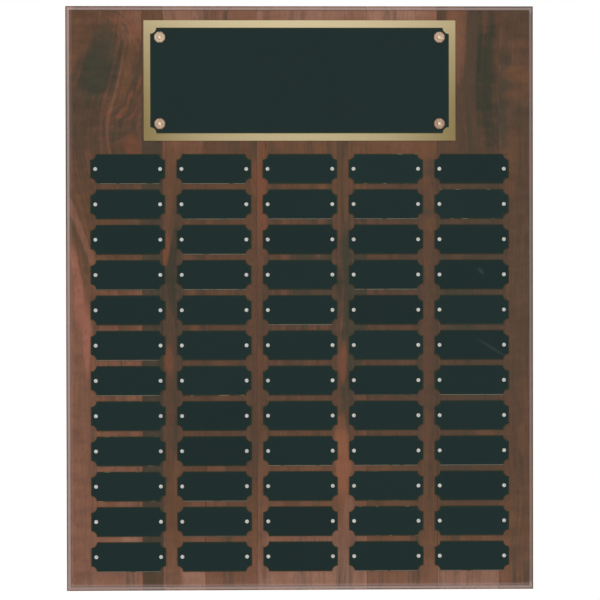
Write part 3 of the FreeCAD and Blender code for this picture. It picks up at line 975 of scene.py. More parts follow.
@dataclass(frozen=True)
class MetalFinish(Finish):
    """Bare metal with fine strokes, a tarnished cast, painted shade at the rim of a dome and, where
    given, a painted highlight. Its sizes are in millimetres.

    Each share is how much a thing counts towards the darker colour, which is tarnishing from the
    cloud and painted shade at a dome's rim. rim_facing gives how much a domed face still faces the
    front where that painted shade starts, and where it is full, and cloud_edge the two values of
    the cloud between which its tarnishing comes in.
    """

    title: str
    slot: str
    metal: Colour
    tarnish: Colour
    roughness: float = 0.3
    brushing: Brushing = Brushing.NONE
    stroke_depth: float = 0.004
    tarnish_share: float = 0.35
    stroke_share: float = 0.25
    rim_share: float = 0.0
    rim_facing: tuple[float, float] = (0.88, 0.62)
    coat: float = 0.0
    cloud_size: float = 14.0
    cloud_edge: tuple[float, float] = (0.35, 0.75)
    stroke_roughness: float = 0.12
    cloud_roughness: float = 0.06
    sheen: Optional[Sheen] = None

    def shade(self, shader: Shader) -> Signal:
        """Lay the strokes, the tarnishing, painted shade at a dome's rim and any painted highlight.

        Args:
            shader: The nodes to add to.

        Returns:
            The shader's output.
        """
        place = shader.place()
        size = self.cloud_size
        strokes = self.brushing.value.at(place)
        cloud = Cells(size, size, size, 3.0, 0.6).at(place)
        uneven = strokes - 0.5
        _, front, _ = shader.facing()
        # Painted shade: a dome's rim, where it turns away from the front, is darkened.
        steep = abs(front).eased(*self.rim_facing) * self.rim_share
        dull = cloud.eased(*self.cloud_edge) * self.tarnish_share + steep
        shown = shader.mix(dull + uneven * self.stroke_share, self.metal, self.tarnish)
        # Painted highlight: a paler colour laid over the metal where a highlight would fall.
        if self.sheen:
            share = self.sheen.at(place) + uneven * self.sheen.stroke_share
            shown = shown.mixed(share, self.sheen.metal)
        rough = uneven * self.stroke_roughness + (cloud - 0.5) * self.cloud_roughness
        return shader.node(
            "ShaderNodeBsdfPrincipled",
            inputs={
                "Base Color": shown,
                "Metallic": 1.0,
                "Roughness": rough + self.roughness,
                "Coat Weight": self.coat,
                "Coat Roughness": 0.3,
                "Normal": shader.bump(strokes, 0.25, self.stroke_depth),
            },
        )


@dataclass(frozen=True)
class RosetteFinish(Finish):
    """Stamped brass, washed pale, with a little tarnishing and painted shade between the petals, at
    the rim and on the right and lower rosettes.

    The four rosettes stand at the corners of an oblong of half sizes about a middle height, so one
    fold finds the place on any of them. Each zone gives the radius where a thing starts, and where
    it is full, and each share how much it counts towards the darker colour. The cloud's share is
    tarnishing. The creases, the rim and the right and lower rosettes get painted shade, and the
    seat's negative share is painted light round the pin. Each edge is the two values between which
    a thing comes in. Sizes are in millimetres.
    """

    half_width: float = 121.2
    half_height: float = 37.45
    middle: float = 189.0
    petals: int = 8
    seat_zone: tuple[float, float] = (2.85, 2.15)
    crease_zone: tuple[float, float] = (2.6, 4.2)
    rim_zone: tuple[float, float] = (3.8, 5.1)
    crease_edge: tuple[float, float] = (0.2, 1.0)
    cloud_edge: tuple[float, float] = (0.45, 0.75)
    grain_cells: Cells = Cells(0.5, 0.5, 0.5)
    cloud_cells: Cells = Cells(3.0, 3.0, 3.0)
    rim_share: float = 0.8
    seat_share: float = -0.2
    crease_share: float = 0.25
    cloud_share: float = 0.4
    right_share: float = 0.2
    low_share: float = 0.25
    roughness: float = 0.26
    grain_roughness: float = 0.14
    wash: Colour = linear(203, 181, 158)
    # The darker colour serves both tarnishing and painted shade.
    tarnish: Colour = linear(122, 90, 74)
    title: str = "washed_stamped_brass"
    slot: str = "rosette_brass"

    def shade(self, shader: Shader) -> Signal:
        """Lay the wash, the tarnishing, painted shade and light, and a fine hammered grain.

        The painted shade lies in the creases, at the rim and on the right and lower rosettes, and
        the painted light lies round the seat.

        Args:
            shader: The nodes to add to.

        Returns:
            The shader's output.
        """
        place = shader.place()
        local_x = abs(place.x) - self.half_width
        local_z = abs(place.z - self.middle) - self.half_height
        radius = (local_x * local_x + local_z * local_z) ** 0.5
        waves = (local_z.turn_from(local_x) * self.petals).cosine()
        crease = waves.eased(*self.crease_edge) * radius.eased(*self.crease_zone)
        grain = self.grain_cells.at(place)
        cloud = self.cloud_cells.at(place).eased(*self.cloud_edge)
        # Painted shade at the rim, in the creases and on the right and lower rosettes, and painted
        # light round the seat.
        dull = radius.eased(*self.rim_zone) * self.rim_share
        dull = dull + radius.eased(*self.seat_zone) * self.seat_share
        dull = dull + crease * self.crease_share + cloud * self.cloud_share
        dull = dull + place.x.eased(-1.0, 1.0) * self.right_share
        dull = dull + (place.z - self.middle).eased(1.0, -1.0) * self.low_share
        return shader.node(
            "ShaderNodeBsdfPrincipled",
            inputs={
                "Base Color": shader.mix(dull, self.wash, self.tarnish),
                "Metallic": 1.0,
                "Roughness": grain * self.grain_roughness + self.roughness,
                "Normal": shader.bump(grain, 0.3, 0.02),
            },
        )


@dataclass(frozen=True)
class FloorFinish(Finish):
    """A pale floor that shows white, and keeps a soft shadow."""

    paint: Colour = (0.82, 0.82, 0.82, 1.0)
    glow: float = 1.3
    glow_share: float = 0.62
    title: str = "pale_floor"
    slot: str = ""

    def shade(self, shader: Shader) -> Signal:
        """Lay plain paint, and for the camera and mirrors a white glow over most of it.

        Args:
            shader: The nodes to add to.

        Returns:
            The shader's output.
        """
        paint = shader.node("ShaderNodeBsdfDiffuse", inputs={"Color": self.paint})
        glow = shader.node("ShaderNodeEmission", inputs={"Color": WHITE, "Strength": self.glow})
        share = shown_to_eye(shader) * self.glow_share
        return shader.node("ShaderNodeMixShader", inputs={0: share, 1: paint, 2: glow})


def shown_to_eye(shader: Shader) -> Signal:
    """1 for what the camera sees, straight or in a mirror or glass, and 0 for plain lighting.

    Args:
        shader: The nodes to add to.

    Returns:
        The signal.
    """
    camera = shader.node("ShaderNodeLightPath", output="Is Camera Ray")
    mirrored = camera.also("Is Glossy Ray").greater(camera.also("Is Transmission Ray"))
    return camera.greater(mirrored)


class Bench:
    """Modelling by hand: one object at a time, selected in code.

    Distances are in metres and angles in radians. Vertices nearer than merge_distance are one,
    faces within flat_angle are one flat, and an edge past sharp_angle is sharp. A vertex within
    reach of a place is the one there.
    """

    merge_distance: float = 0.001 * MM
    reach: float = 0.01 * MM
    flat_angle: float = math.radians(0.5)
    sharp_angle: float = math.radians(30)

    @staticmethod
    def clear() -> None:
        """Leave edit mode and deselect everything."""
        if bpy.context.object and bpy.context.object.mode != "OBJECT":
            bpy.ops.object.mode_set(mode="OBJECT")
        bpy.ops.object.select_all(action="DESELECT")

    @classmethod
    def hold(cls, piece: bpy.types.Object) -> None:
        """Make a piece the only selected one.

        Args:
            piece: The piece to hold.
        """
        cls.clear()
        piece.select_set(True)
        bpy.context.view_layer.objects.active = piece

    @classmethod
    def open(cls, piece: bpy.types.Object, mode: str = "VERT", action: str = "SELECT") -> None:
        """Enter edit mode on a piece, with all or none of its mesh selected.

        Args:
            piece: The piece to work on.
            mode: Whether vertices, edges or faces are selected.
            action: SELECT for all of them, DESELECT for none.
        """
        cls.hold(piece)
        bpy.ops.object.mode_set(mode="EDIT")
        bpy.ops.mesh.select_mode(type=mode)
        bpy.ops.mesh.select_all(action=action)

    @classmethod
    def open_on(cls, piece: bpy.types.Object, wanted: Test) -> None:
        """Enter edit mode on a piece, with the vertices selected that a test picks by place.

        Args:
            piece: The piece to work on.
            wanted: Says of a vertex's place whether it is wanted.
        """
        cls.open(piece, action="DESELECT")
        bpy.ops.object.mode_set(mode="OBJECT")
        for vertex in piece.data.vertices:
            vertex.select = wanted(vertex.co)
        bpy.ops.object.mode_set(mode="EDIT")

    @classmethod
    def close(cls) -> None:
        """Leave edit mode."""
        bpy.ops.object.mode_set(mode="OBJECT")

    @classmethod
    def copy_of(cls, source: bpy.types.Object, name: str) -> bpy.types.Object:
        """A copy of an object, with its own mesh.

        Args:
            source: The object, which stays as it is.
            name: The new piece's name.

        Returns:
            The new piece.
        """
        piece = bpy.data.objects.new(name, source.data.copy())
        bpy.context.scene.collection.objects.link(piece)
        return piece

    @classmethod
    def copy_of_node(cls, node: bpy.types.Object, name: str) -> bpy.types.Object:
        """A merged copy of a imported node, to be shaped further.

        Args:
            node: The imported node, which stays as it is.
            name: The new piece's name.

        Returns:
            The new piece, whose loose triangles are merged into whole faces.
        """
        piece = cls.copy_of(node, name)
        cls.hold(piece)
        bpy.ops.mesh.customdata_custom_splitnormals_clear()
        cls.open(piece)
        bpy.ops.mesh.remove_doubles(threshold=cls.merge_distance)
        bpy.ops.mesh.dissolve_limited(angle_limit=cls.flat_angle)
        cls.close()
        return piece

    @classmethod
    def ease_edges(
        cls,
        piece: bpy.types.Object,
        wanted: EdgeTest,
        width: float,
        segments: int = 2,
    ) -> int:
        """Round the sharp edges of a piece that a test picks by their ends.

        Args:
            piece: The piece to work on.
            wanted: Says of the two ends of an edge whether it is wanted.
            width: How wide the rounding is, in metres.
            segments: How many faces it has across.

        Returns:
            How many edges were rounded.
        """
        cls.open(piece, "EDGE", "DESELECT")
        bpy.ops.mesh.edges_select_sharp(sharpness=cls.sharp_angle)
        cls.close()
        mesh = piece.data
        count = 0
        for edge in mesh.edges:
            first, last = (mesh.vertices[index].co for index in edge.vertices)
            edge.select = edge.select and wanted(first, last)
            count += edge.select
        bpy.ops.object.mode_set(mode="EDIT")
        bpy.ops.mesh.select_mode(type="EDGE")
        bpy.ops.mesh.bevel(offset=width, segments=segments, affect="EDGES", clamp_overlap=True)
        cls.close()
        return count

    @classmethod
    def smooth(cls, piece: bpy.types.Object, degrees: float = 32) -> None:
        """Shade a piece smooth, with its wide faces flat.

        Args:
            piece: The piece to work on.
            degrees: The angle past which an edge stays sharp.
        """
        cls.hold(piece)
        bpy.ops.object.shade_smooth_by_angle(angle=math.radians(degrees))
        cls.apply(piece, "WEIGHTED_NORMAL", keep_sharp=True, weight=100)

    @classmethod
    def apply(cls, piece: bpy.types.Object, kind: str, **settings: Any) -> None:
        """Add a modifier and apply it.

        Args:
            piece: The piece to work on.
            kind: The modifier's type.
            settings: Its properties.
        """
        cls.hold(piece)
        modifier = piece.modifiers.new(kind.lower(), kind)
        for name, value in settings.items():
            setattr(modifier, name, value)
        bpy.ops.object.modifier_apply(modifier=modifier.name)

    @classmethod
    def outline(cls, name: str, points: Sequence[Vector]) -> bpy.types.Object:
        """A closed outline, drawn by pulling one vertex on from point to point.

        Args:
            name: The new piece's name.
            points: The outline's corners, in order.

        Returns:
            The new piece, which has no faces yet.
        """
        cls.clear()
        bpy.ops.mesh.primitive_plane_add(size=MM, location=(0, 0, 0))
        piece = bpy.context.object
        piece.name = name
        start = piece.data.vertices[0].co.copy()
        cls.open_on(piece, lambda place: (place - start).length > cls.reach)
        bpy.ops.mesh.delete(type="VERT")
        bpy.ops.mesh.select_all(action="SELECT")
        bpy.ops.transform.translate(value=points[0] - start)
        for previous, point in zip(points, points[1:]):
            step = {"value": point - previous}
            bpy.ops.mesh.extrude_region_move(TRANSFORM_OT_translate=step)
        cls.close()
        ends = (points[0], points[-1])
        cls.open_on(piece, lambda place: min((place - end).length for end in ends) < cls.reach)
        bpy.ops.mesh.edge_face_add()
        cls.close()
        return piece

    @classmethod
    def move(cls, piece: bpy.types.Object, way: Vector) -> None:
        """Move a whole piece's mesh, so that its object stays at the origin.

        Args:
            piece: The piece to move.
            way: How far it moves.
        """
        cls.open(piece)
        bpy.ops.transform.translate(value=way)
        cls.close()


class Assembly(ABC):
    """A part of the plaque that is built and dressed as one."""

    nodes: Mapping[str, bpy.types.Object]

    @abstractmethod
    def build(self) -> None:
        """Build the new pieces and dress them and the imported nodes."""

    def dress_node(self, name: str, material: bpy.types.Material) -> None:
        """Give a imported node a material.

        Args:
            name: The node's name.
            material: What it is dressed in.
        """
        for slot in self.nodes[name].material_slots:
            slot.material = material
        log.info("%s is dressed in %s", name, material.name)

    def stand_in(
        self, piece: bpy.types.Object, material: bpy.types.Material, slot: str, node: str
    ) -> None:
        """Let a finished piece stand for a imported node.

        Args:
            piece: The new piece.
            material: What it is dressed in.
            slot: The finish's slot name; not used.
            node: The node that it stands for.
        """
        piece.data.materials.clear()
        piece.data.materials.append(material)
        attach(piece, ROOT_BODY)
        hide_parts(node)
        log.info("%s stands for %s, %d faces", piece.name, node, len(piece.data.polygons))


@dataclass
class Board(Assembly):
    """The glued board of walnut staves."""

    nodes: Mapping[str, bpy.types.Object]
    edge_rounding: float = 0.3 * MM
    edge_zone: float = 5 * MM
    seam_tolerance: float = 0.01 * MM

    def build(self) -> None:
        """Ease each stave's outer edges and lay its own figure."""
        for position, figure in enumerate(stave_figures(), start=1):
            self.build_stave(f"walnut_stave_{position}", figure)

    def build_stave(self, node: str, figure: WalnutFinish) -> None:
        """Ease and dress one stave.

        Args:
            node: The stave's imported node.
            figure: The stave's figure.
        """
        low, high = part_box(node)
        piece = Bench.copy_of_node(self.nodes[node], f"{node}_eased")
        count = Bench.ease_edges(piece, self.outer_edge_test(low, high), self.edge_rounding)
        Bench.smooth(piece)
        log.info("%s has %d edges eased", node, count)
        sided = replace(figure, left=low.x / MM, right=high.x / MM)
        self.stand_in(piece, sided.material(), sided.slot, node)

    def outer_edge_test(self, low: Vector, high: Vector) -> EdgeTest:
        """A test for the edges near the board's outside, without the glued seams.

        Args:
            low: The lowest corner of the stave.
            high: Its highest corner.

        Returns:
            The test.
        """
        board_low, board_high = self.outline()
        seams = [side for side in (low.x, high.x) if board_low.x < side < board_high.x]

        def outside(place: Vector) -> bool:
            """Whether a place lies in the zone of the board's moulding.

            Args:
                place: The place.

            Returns:
                True near the board's outside.
            """
            across = min(place.x - board_low.x, board_high.x - place.x)
            up = min(place.z - board_low.z, board_high.z - place.z)
            return min(across, up) < self.edge_zone

        def test(first: Vector, last: Vector) -> bool:
            """Whether an edge is one to ease.

            Args:
                first: One end of the edge.
                last: Its other end.

            Returns:
                True near the board's outside, but not along a seam.
            """
            for seam in seams:
                if max(abs(first.x - seam), abs(last.x - seam)) < self.seam_tolerance:
                    return False
            return outside(first) and outside(last)

        return test

    def outline(self) -> tuple[Vector, Vector]:
        """The lowest and highest corner of the whole board.

        Returns:
            The two corners.
        """
        boxes = [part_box(name) for name in self.nodes if name.startswith("walnut_stave")]
        low = Vector([min(box[0][axis] for box in boxes) for axis in range(3)])
        high = Vector([max(box[1][axis] for box in boxes) for axis in range(3)])
        return low, high


def stave_figures() -> list[WalnutFinish]:
    """The figure of each stave.

    Returns:
        The figures, from the left.
    """
    # Most grounds run paler towards the foot, partly the wood's own tone and partly a painted
    # reflection of the lacquer near the bottom.
    w = Walnut
    return [
        WalnutFinish(
            seed=1.3,
            ground=(
                (0.0, w.ROSE), (0.05, w.FAWN), (0.3, w.HAZEL), (0.5, w.HAZEL), (0.6, w.CHESTNUT),
                (0.7, w.BROWN), (0.78, w.EARTH), (0.93, w.BROWN), (1.0, w.HAZEL),
            ),
            pale=w.FAWN,
            contrast=0.8,
            bows=(Bow(-24.0, 140.0, 110.0),),
            pith=(-90.0, 60.0),
            curl=0.8,
            flames=(
                Flame(-165, 184, 25, 62, w.UMBER, 0.75),
                Flame(-160, 199, 18, 29, w.OLIVE, 0.95),
                Flame(-158, 224, 10, 18, w.BOG, 0.7),
                Flame(-183, 236, 10, 30, w.BROWN, 0.95),
                Flame(-136, 238, 12, 16, w.FAWN, 0.7),
                Flame(-119, 130, 6, 12, w.RUSSET, 0.5),
                Flame(-132, 195, 5, 30, w.CHESTNUT, 0.7),
                Flame(-134, 62, 12, 56, w.BOG, 0.7),
                Flame(-152, 44, 22, 64, w.BROWN, 0.6),
                Flame(-186, 205, 4, 14, w.CHESTNUT, 0.8),
                Flame(-196, -110, 14, 170, w.FAWN, 0.7),
                Flame(-147, -25, 11, 26, w.BROWN, 0.6),
                Flame(-168, -178, 9, 14, w.CHESTNUT, 0.5),
                Flame(-147, -210, 10, 14, w.PEACH, 0.6),
                Flame(-183, 76, 3.5, 12, w.FAWN, 0.75),
                Flame(-181, 61, 3, 10, w.FAWN, 0.75),
                Flame(-179, 48, 3, 10, w.FAWN, 0.75),
                Flame(-176.5, 35, 3, 10, w.FAWN, 0.75),
                Flame(-192, 32, 4, 14, w.SALMON, 0.8),
                Flame(-190, 0, 5, 24, w.SALMON, 0.85),
                Flame(-184, -34, 5, 30, w.SALMON, 0.9),
            ),
            eyes=(Eye(-175, 203, 14, 70, 3.2, 0.75),),
        ),
        WalnutFinish(
            seed=2.7,
            ground=(
                (0.0, w.BROWN), (0.06, w.BOG), (0.7, w.BOG), (0.78, w.UMBER), (1.0, w.CHESTNUT),
            ),
            dark=w.INK,
            pale=w.EARTH,
            contrast=0.7,
            sway=3.0,
            pith=(60.0, 60.0),
        ),
        WalnutFinish(
            seed=3.1,
            ground=(
                (0.0, w.PEACH), (0.04, w.FAWN), (0.1, w.CHESTNUT), (0.2, w.BROWN), (0.3, w.EARTH),
                (0.45, w.UMBER), (0.55, w.UMBER), (0.65, w.EARTH), (0.72, w.BROWN),
                (0.77, w.HAZEL), (0.94, w.ROSE), (1.0, w.ROSE),
            ),
            pale=w.CHESTNUT,
            contrast=0.85,
            pith=(70.0, 50.0),
            flames=(
                Flame(-115, 100, 5, 66, w.CHESTNUT, 0.7),
                Flame(-107, 26, 4, 44, w.INK, 0.7),
                Flame(-112.5, 44, 3.5, 16, w.RUSSET, 0.75),
                Flame(-113, -55, 4, 16, w.RUSSET, 0.6),
                Flame(-108, -150, 3, 26, w.CHESTNUT, 0.8),
                Flame(-88, -200, 7, 45, w.HAZEL, 0.7),
                Flame(-92, -244, 12, 12, w.PEACH, 0.9),
                Flame(-110, -243, 8, 10, w.CHESTNUT, 0.6),
                Flame(-113, -122, 4, 14, w.BOG, 0.5),
                Flame(-113, -222, 4, 12, w.CHESTNUT, 0.6),
                Flame(-107, 76, 4, 12, w.BOG, 0.5),
            ),
        ),
        WalnutFinish(
            seed=4.9,
            ground=(
                (0.0, w.FAWN), (0.04, w.HAZEL), (0.12, w.CHESTNUT), (0.2, w.EARTH), (0.4, w.EARTH),
                (0.55, w.BROWN), (0.78, w.BROWN), (0.92, w.HAZEL), (1.0, w.FAWN),
            ),
            pale=w.CHESTNUT,
            contrast=0.7,
            pith=(-80.0, 60.0),
            flames=(
                Flame(-40, 106, 3, 16, w.RUSSET, 0.5),
                Flame(-71, 60, 9, 20, w.UMBER, 0.6),
                Flame(-71, -72, 9, 26, w.CHESTNUT, 0.6),
                Flame(-71, -162, 10, 26, w.HAZEL, 0.8),
            ),
        ),
        WalnutFinish(
            seed=5.4,
            ground=(
                (0.0, w.PEACH), (0.04, w.ROSE), (0.09, w.FAWN), (0.16, w.CHESTNUT), (0.25, w.BROWN),
                (0.4, w.EARTH), (0.55, w.EARTH), (0.68, w.BROWN), (0.76, w.CHESTNUT),
                (0.93, w.ROSE), (1.0, w.ROSE),
            ),
            pale=w.HAZEL,
            contrast=0.8,
            pith=(-140.0, 70.0),
            flames=(
                Flame(-34, 88, 5, 50, w.RUSSET, 0.65),
                Flame(-33, -180, 6, 60, w.HAZEL, 0.6),
                Flame(14, 24, 25, 50, w.OLIVE, 0.7),
                Flame(48, -12, 12, 98, w.OLIVE, 0.85),
                Flame(41, 94, 3, 32, w.CHESTNUT, 0.7),
                Flame(37, -142, 7.5, 38, w.AMBER, 0.8),
                Flame(40.5, -55, 4.3, 18, w.RUSSET, 0.75),
                Flame(50, -160, 8, 24, w.HAZEL, 0.7),
                Flame(43, -190, 6, 18, w.FAWN, 0.85),
                Flame(34, 12, 4, 14, w.INK, 0.5),
                Flame(-33, -56, 4, 14, w.RUSSET, 0.35),
                Flame(10, -148, 10, 12, w.HAZEL, 0.6),
                Flame(-27, 246, 8, 12, w.HAZEL, 0.5),
                Flame(10, 246, 9, 12, w.PEACH, 0.6),
                Flame(-8, -178, 8, 12, w.EARTH, 0.5),
                Flame(-8, -243, 8, 10, w.PEACH, 0.5),
                Flame(48, 246, 9, 12, w.FAWN, 0.5),
            ),
        ),
        WalnutFinish(
            seed=6.2,
            ground=(
                (0.0, w.FAWN), (0.05, w.HAZEL), (0.1, w.CHESTNUT), (0.18, w.BROWN), (0.3, w.EARTH),
                (0.5, w.EARTH), (0.7, w.EARTH), (0.76, w.CHESTNUT), (0.9, w.ROSE), (1.0, w.PEACH),
            ),
            pale=w.CHESTNUT,
            contrast=0.8,
            pith=(90.0, 60.0),
            flames=(
                Flame(112, 112, 6, 9, w.BOG, 0.6),
                Flame(112, 78, 6, 9, w.BOG, 0.6),
                Flame(112, 20, 9, 30, w.UMBER, 0.6),
                Flame(110, 246, 10, 14, w.FAWN, 0.9),
                Flame(68, 247, 8, 12, w.PEACH, 0.6),
                Flame(68, -146, 9, 14, w.CHESTNUT, 0.8),
                Flame(88, 131, 9, 14, w.HAZEL, 0.5),
                Flame(88, -86, 9, 12, w.UMBER, 0.5),
                Flame(110, -89, 4, 14, w.UMBER, 0.5),
                Flame(117, 109, 3, 12, w.BOG, 0.6),
                Flame(112, -222, 7, 12, w.CHESTNUT, 0.5),
            ),
        ),
        WalnutFinish(
            seed=7.8,
            ground=(
                (0.0, w.PEACH), (0.03, w.ROSE), (0.09, w.CHESTNUT), (0.16, w.EARTH), (0.3, w.UMBER),
                (0.6, w.UMBER), (0.76, w.EARTH), (1.0, w.EARTH),
            ),
            pale=w.BROWN,
            contrast=0.8,
            pith=(80.0, 50.0),
            flames=(
                Flame(165, 188, 10, 66, w.INK, 0.85),
                Flame(149, 205, 6, 44, w.UMBER, 0.8),
                Flame(136, 226, 10, 40, w.HAZEL, 1.0),
                Flame(137, -8, 18, 34, w.OLIVE, 0.75),
                Flame(134, -215, 4, 34, w.BOG, 0.7),
                Flame(137, -148, 16, 12, w.BOG, 0.7),
                Flame(164, -117, 8, 12, w.CHESTNUT, 0.8),
                Flame(164, 88, 9, 24, w.BOG, 0.6),
                Flame(164, -56, 9, 12, w.UMBER, 0.5),
                Flame(164, -178, 9, 12, w.EARTH, 0.5),
            ),
        ),
        WalnutFinish(
            seed=8.6,
            ground=(
                (0.0, w.HAZEL), (0.1, w.CHESTNUT), (0.2, w.BROWN), (0.34, w.EARTH),
                (0.42, w.UMBER), (0.58, w.UMBER), (0.66, w.EARTH), (0.76, w.BROWN),
                (0.81, w.UMBER), (0.88, w.CHESTNUT), (0.93, w.EARTH), (1.0, w.UMBER),
            ),
            pale=w.CHESTNUT,
            contrast=0.7,
            curl=0.8,
            pith=(-70.0, 50.0),
            flames=(
                Flame(177, 170, 7, 66, w.BOG, 0.85),
                Flame(190, 221, 12, 5, w.CHESTNUT, 0.35),
                Flame(190, 195, 14, 7, w.CHESTNUT, 0.7),
                Flame(187, 176, 10, 5, w.CHESTNUT, 0.45),
                Flame(187, -8, 4, 28, w.UMBER, 0.6),
                Flame(195, -122, 5, 14, w.CHESTNUT, 0.7),
            ),
        ),
    ]


@dataclass
class Plates(Assembly):
    """What the header and the name plates share: sheet plates with rolled front edges."""

    nodes: Mapping[str, bpy.types.Object]
    roll: float = 0.12 * MM
    front_tolerance: float = 0.01 * MM

    def build_plate(
        self, node: str, material: bpy.types.Material, slot: str, skip: Optional[Test] = None
    ) -> None:
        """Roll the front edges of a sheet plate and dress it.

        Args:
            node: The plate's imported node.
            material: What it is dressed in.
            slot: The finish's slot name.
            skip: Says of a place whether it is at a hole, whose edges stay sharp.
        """
        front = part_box(node)[0].y + self.front_tolerance
        piece = Bench.copy_of_node(self.nodes[node], f"{node}_rolled")

        def at_front(first: Vector, last: Vector) -> bool:
            """Whether an edge lies on the front and away from the holes.

            Args:
                first: One end of the edge.
                last: Its other end.

            Returns:
                True where it is to be rolled.
            """
            if max(first.y, last.y) > front:
                return False
            return skip is None or not (skip(first) and skip(last))

        Bench.ease_edges(piece, at_front, self.roll)
        Bench.smooth(piece)
        self.stand_in(piece, material, slot, node)


@dataclass
class NamePlates(Plates):
    """The rows of black name plates and their pins."""

    row_count: int = 12
    pin_to_middle: float = 28.05 * MM
    pitch: float = 74.6 * MM
    hole_zone: float = 1.0 * MM
    finish: BlackBrassFinish = BlackBrassFinish(
        half_width=32.4,
        half_height=12.95,
        scoop=4.9,
        pitch=(74.6, 30.6),
        middle=(0.0, 112.5),
        smudges=(
            Smudge(157.3, 23.6, 3.0, 4.0, 0.6, 0.16),
            Smudge(165.2, -42.2, 3.0, 8.5, 1.55, 0.11),
        ),
    )
    pin_finish: MetalFinish = MetalFinish(
        title="nickel_plate",
        slot="nickel_pin",
        metal=linear(198, 198, 192),
        tarnish=linear(104, 106, 100),
        roughness=0.24,
        tarnish_share=0.35,
        # Painted shade round the rim of each pin's head.
        rim_share=1.0,
        rim_facing=(0.86, 0.50),
        cloud_size=3.0,
    )

    def build(self) -> None:
        """Build and dress every row."""
        black = self.finish.material()
        nickel = self.pin_finish.material()
        for row in range(1, self.row_count + 1):
            plates = f"name_plates_row_{row:02d}"
            low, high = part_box(plates)
            self.build_plate(plates, black, self.finish.slot, self.hole_test((low.z + high.z) / 2))
            self.dress_node(f"name_plate_pins_row_{row:02d}", nickel)

    def hole_test(self, height: float) -> Test:
        """A test for places at the pin holes of a row.

        Args:
            height: The height of the row's middle.

        Returns:
            The test.
        """

        def test(place: Vector) -> bool:
            """Whether a place is at a pin hole.

            Args:
                place: The place.

            Returns:
                True close to a hole's middle.
            """
            from_plate = abs((place.x / self.pitch + 0.5) % 1 - 0.5) * self.pitch
            across = abs(from_plate - self.pin_to_middle)
            return across < self.hole_zone and abs(place.z - height) < self.hole_zone

        return test


@dataclass
class Rosette:
    """One stamped rosette, modelled at the origin: its back on Y = 0 and its front to -Y.

    profile is half of its section, as distance from the middle and height off the back. edge_in
    is how far the outline draws in between two petals, and crease how much lower the petals are
    there, both as shares, and each power is how narrow that place is. A start is the radius from
    which a change is made. weld is the distance within which the petals' seams close, and
    turn_reach the angle within which a vertex is on a column.
    """

    petals: int = 8
    steps: int = 14
    profile: tuple[tuple[float, float], ...] = (
        (1.0 * MM, 0.0),
        (1.0 * MM, 0.44 * MM),
        (1.9 * MM, 0.46 * MM),
        (2.25 * MM, 0.62 * MM),
        (2.7 * MM, 0.92 * MM),
        (3.3 * MM, 1.09 * MM),
        (3.95 * MM, 1.04 * MM),
        (4.5 * MM, 0.82 * MM),
        (4.95 * MM, 0.46 * MM),
        (5.12 * MM, 0.16 * MM),
        (5.08 * MM, 0.0),
    )
    petal_start: float = 2.8 * MM
    outline_start: float = 3.6 * MM
    edge_in: float = 0.045
    edge_power: float = 2.4
    crease: float = 0.30
    crease_power: float = 2.2
    weld: float = 0.002 * MM
    turn_reach: float = 0.01
    smooth_degrees: float = 60

    def build(self) -> bpy.types.Object:
        """Spin one petal from the section, shape it, and repeat it round the middle.

        Returns:
            The rosette.
        """
        petal_angle = 2 * math.pi / self.petals
        section = [Vector((radius, -height, 0)) for radius, height in self.profile]
        piece = Bench.outline("rosette_pattern", section)
        self.spin(piece, petal_angle, self.steps)
        for column in range(self.steps + 1):
            self.shape_column(piece, column, petal_angle)
        self.spin(piece, 2 * math.pi - petal_angle, self.petals - 1, dupli=True)
        Bench.open(piece)
        bpy.ops.mesh.remove_doubles(threshold=self.weld)
        bpy.ops.mesh.normals_make_consistent(inside=False)
        Bench.close()
        Bench.apply(piece, "SUBSURF", levels=1, render_levels=1)
        Bench.smooth(piece, self.smooth_degrees)
        return piece

    def spin(
        self, piece: bpy.types.Object, angle: float, steps: int, dupli: bool = False
    ) -> None:
        """Spin the whole mesh about the rosette's axis.

        Args:
            piece: The piece to work on.
            angle: How far it is spun, in radians.
            steps: How many steps that takes.
            dupli: Whether each step is a copy, instead of a new strip of faces.
        """
        Bench.open(piece)
        bpy.ops.mesh.spin(
            steps=steps, dupli=dupli, angle=angle, center=(0, 0, 0), axis=(0, 1, 0)
        )
        Bench.close()

    def shape_column(self, piece: bpy.types.Object, column: int, petal_angle: float) -> None:
        """Draw one column of the petal in and down, by how near it is to the petal's side.

        Args:
            piece: The piece to work on.
            column: The column's number, from 0 at one side of the petal.
            petal_angle: How wide the petal is, in radians.
        """
        aside = abs(column / self.steps * 2 - 1)
        angle = petal_angle * column / self.steps
        drawn_in = 1 - self.edge_in * aside ** self.edge_power
        lowered = 1 - self.crease * aside ** self.crease_power

        def in_column(place: Vector, start: float) -> bool:
            """Whether a place is on this column's line, outside a radius.

            Args:
                place: The place.
                start: The radius.

            Returns:
                True where it is.
            """
            turn = abs(math.atan2(place.z, place.x))
            near = abs(turn - angle) < self.turn_reach
            return near and math.hypot(place.x, place.z) > start

        Bench.open_on(piece, lambda place: in_column(place, self.outline_start))
        bpy.ops.transform.resize(value=(drawn_in, 1, drawn_in), center_override=(0, 0, 0))
        Bench.close()
        Bench.open_on(piece, lambda place: in_column(place, self.petal_start))
        bpy.ops.transform.resize(value=(1, lowered, 1), center_override=(0, 0, 0))
        Bench.close()


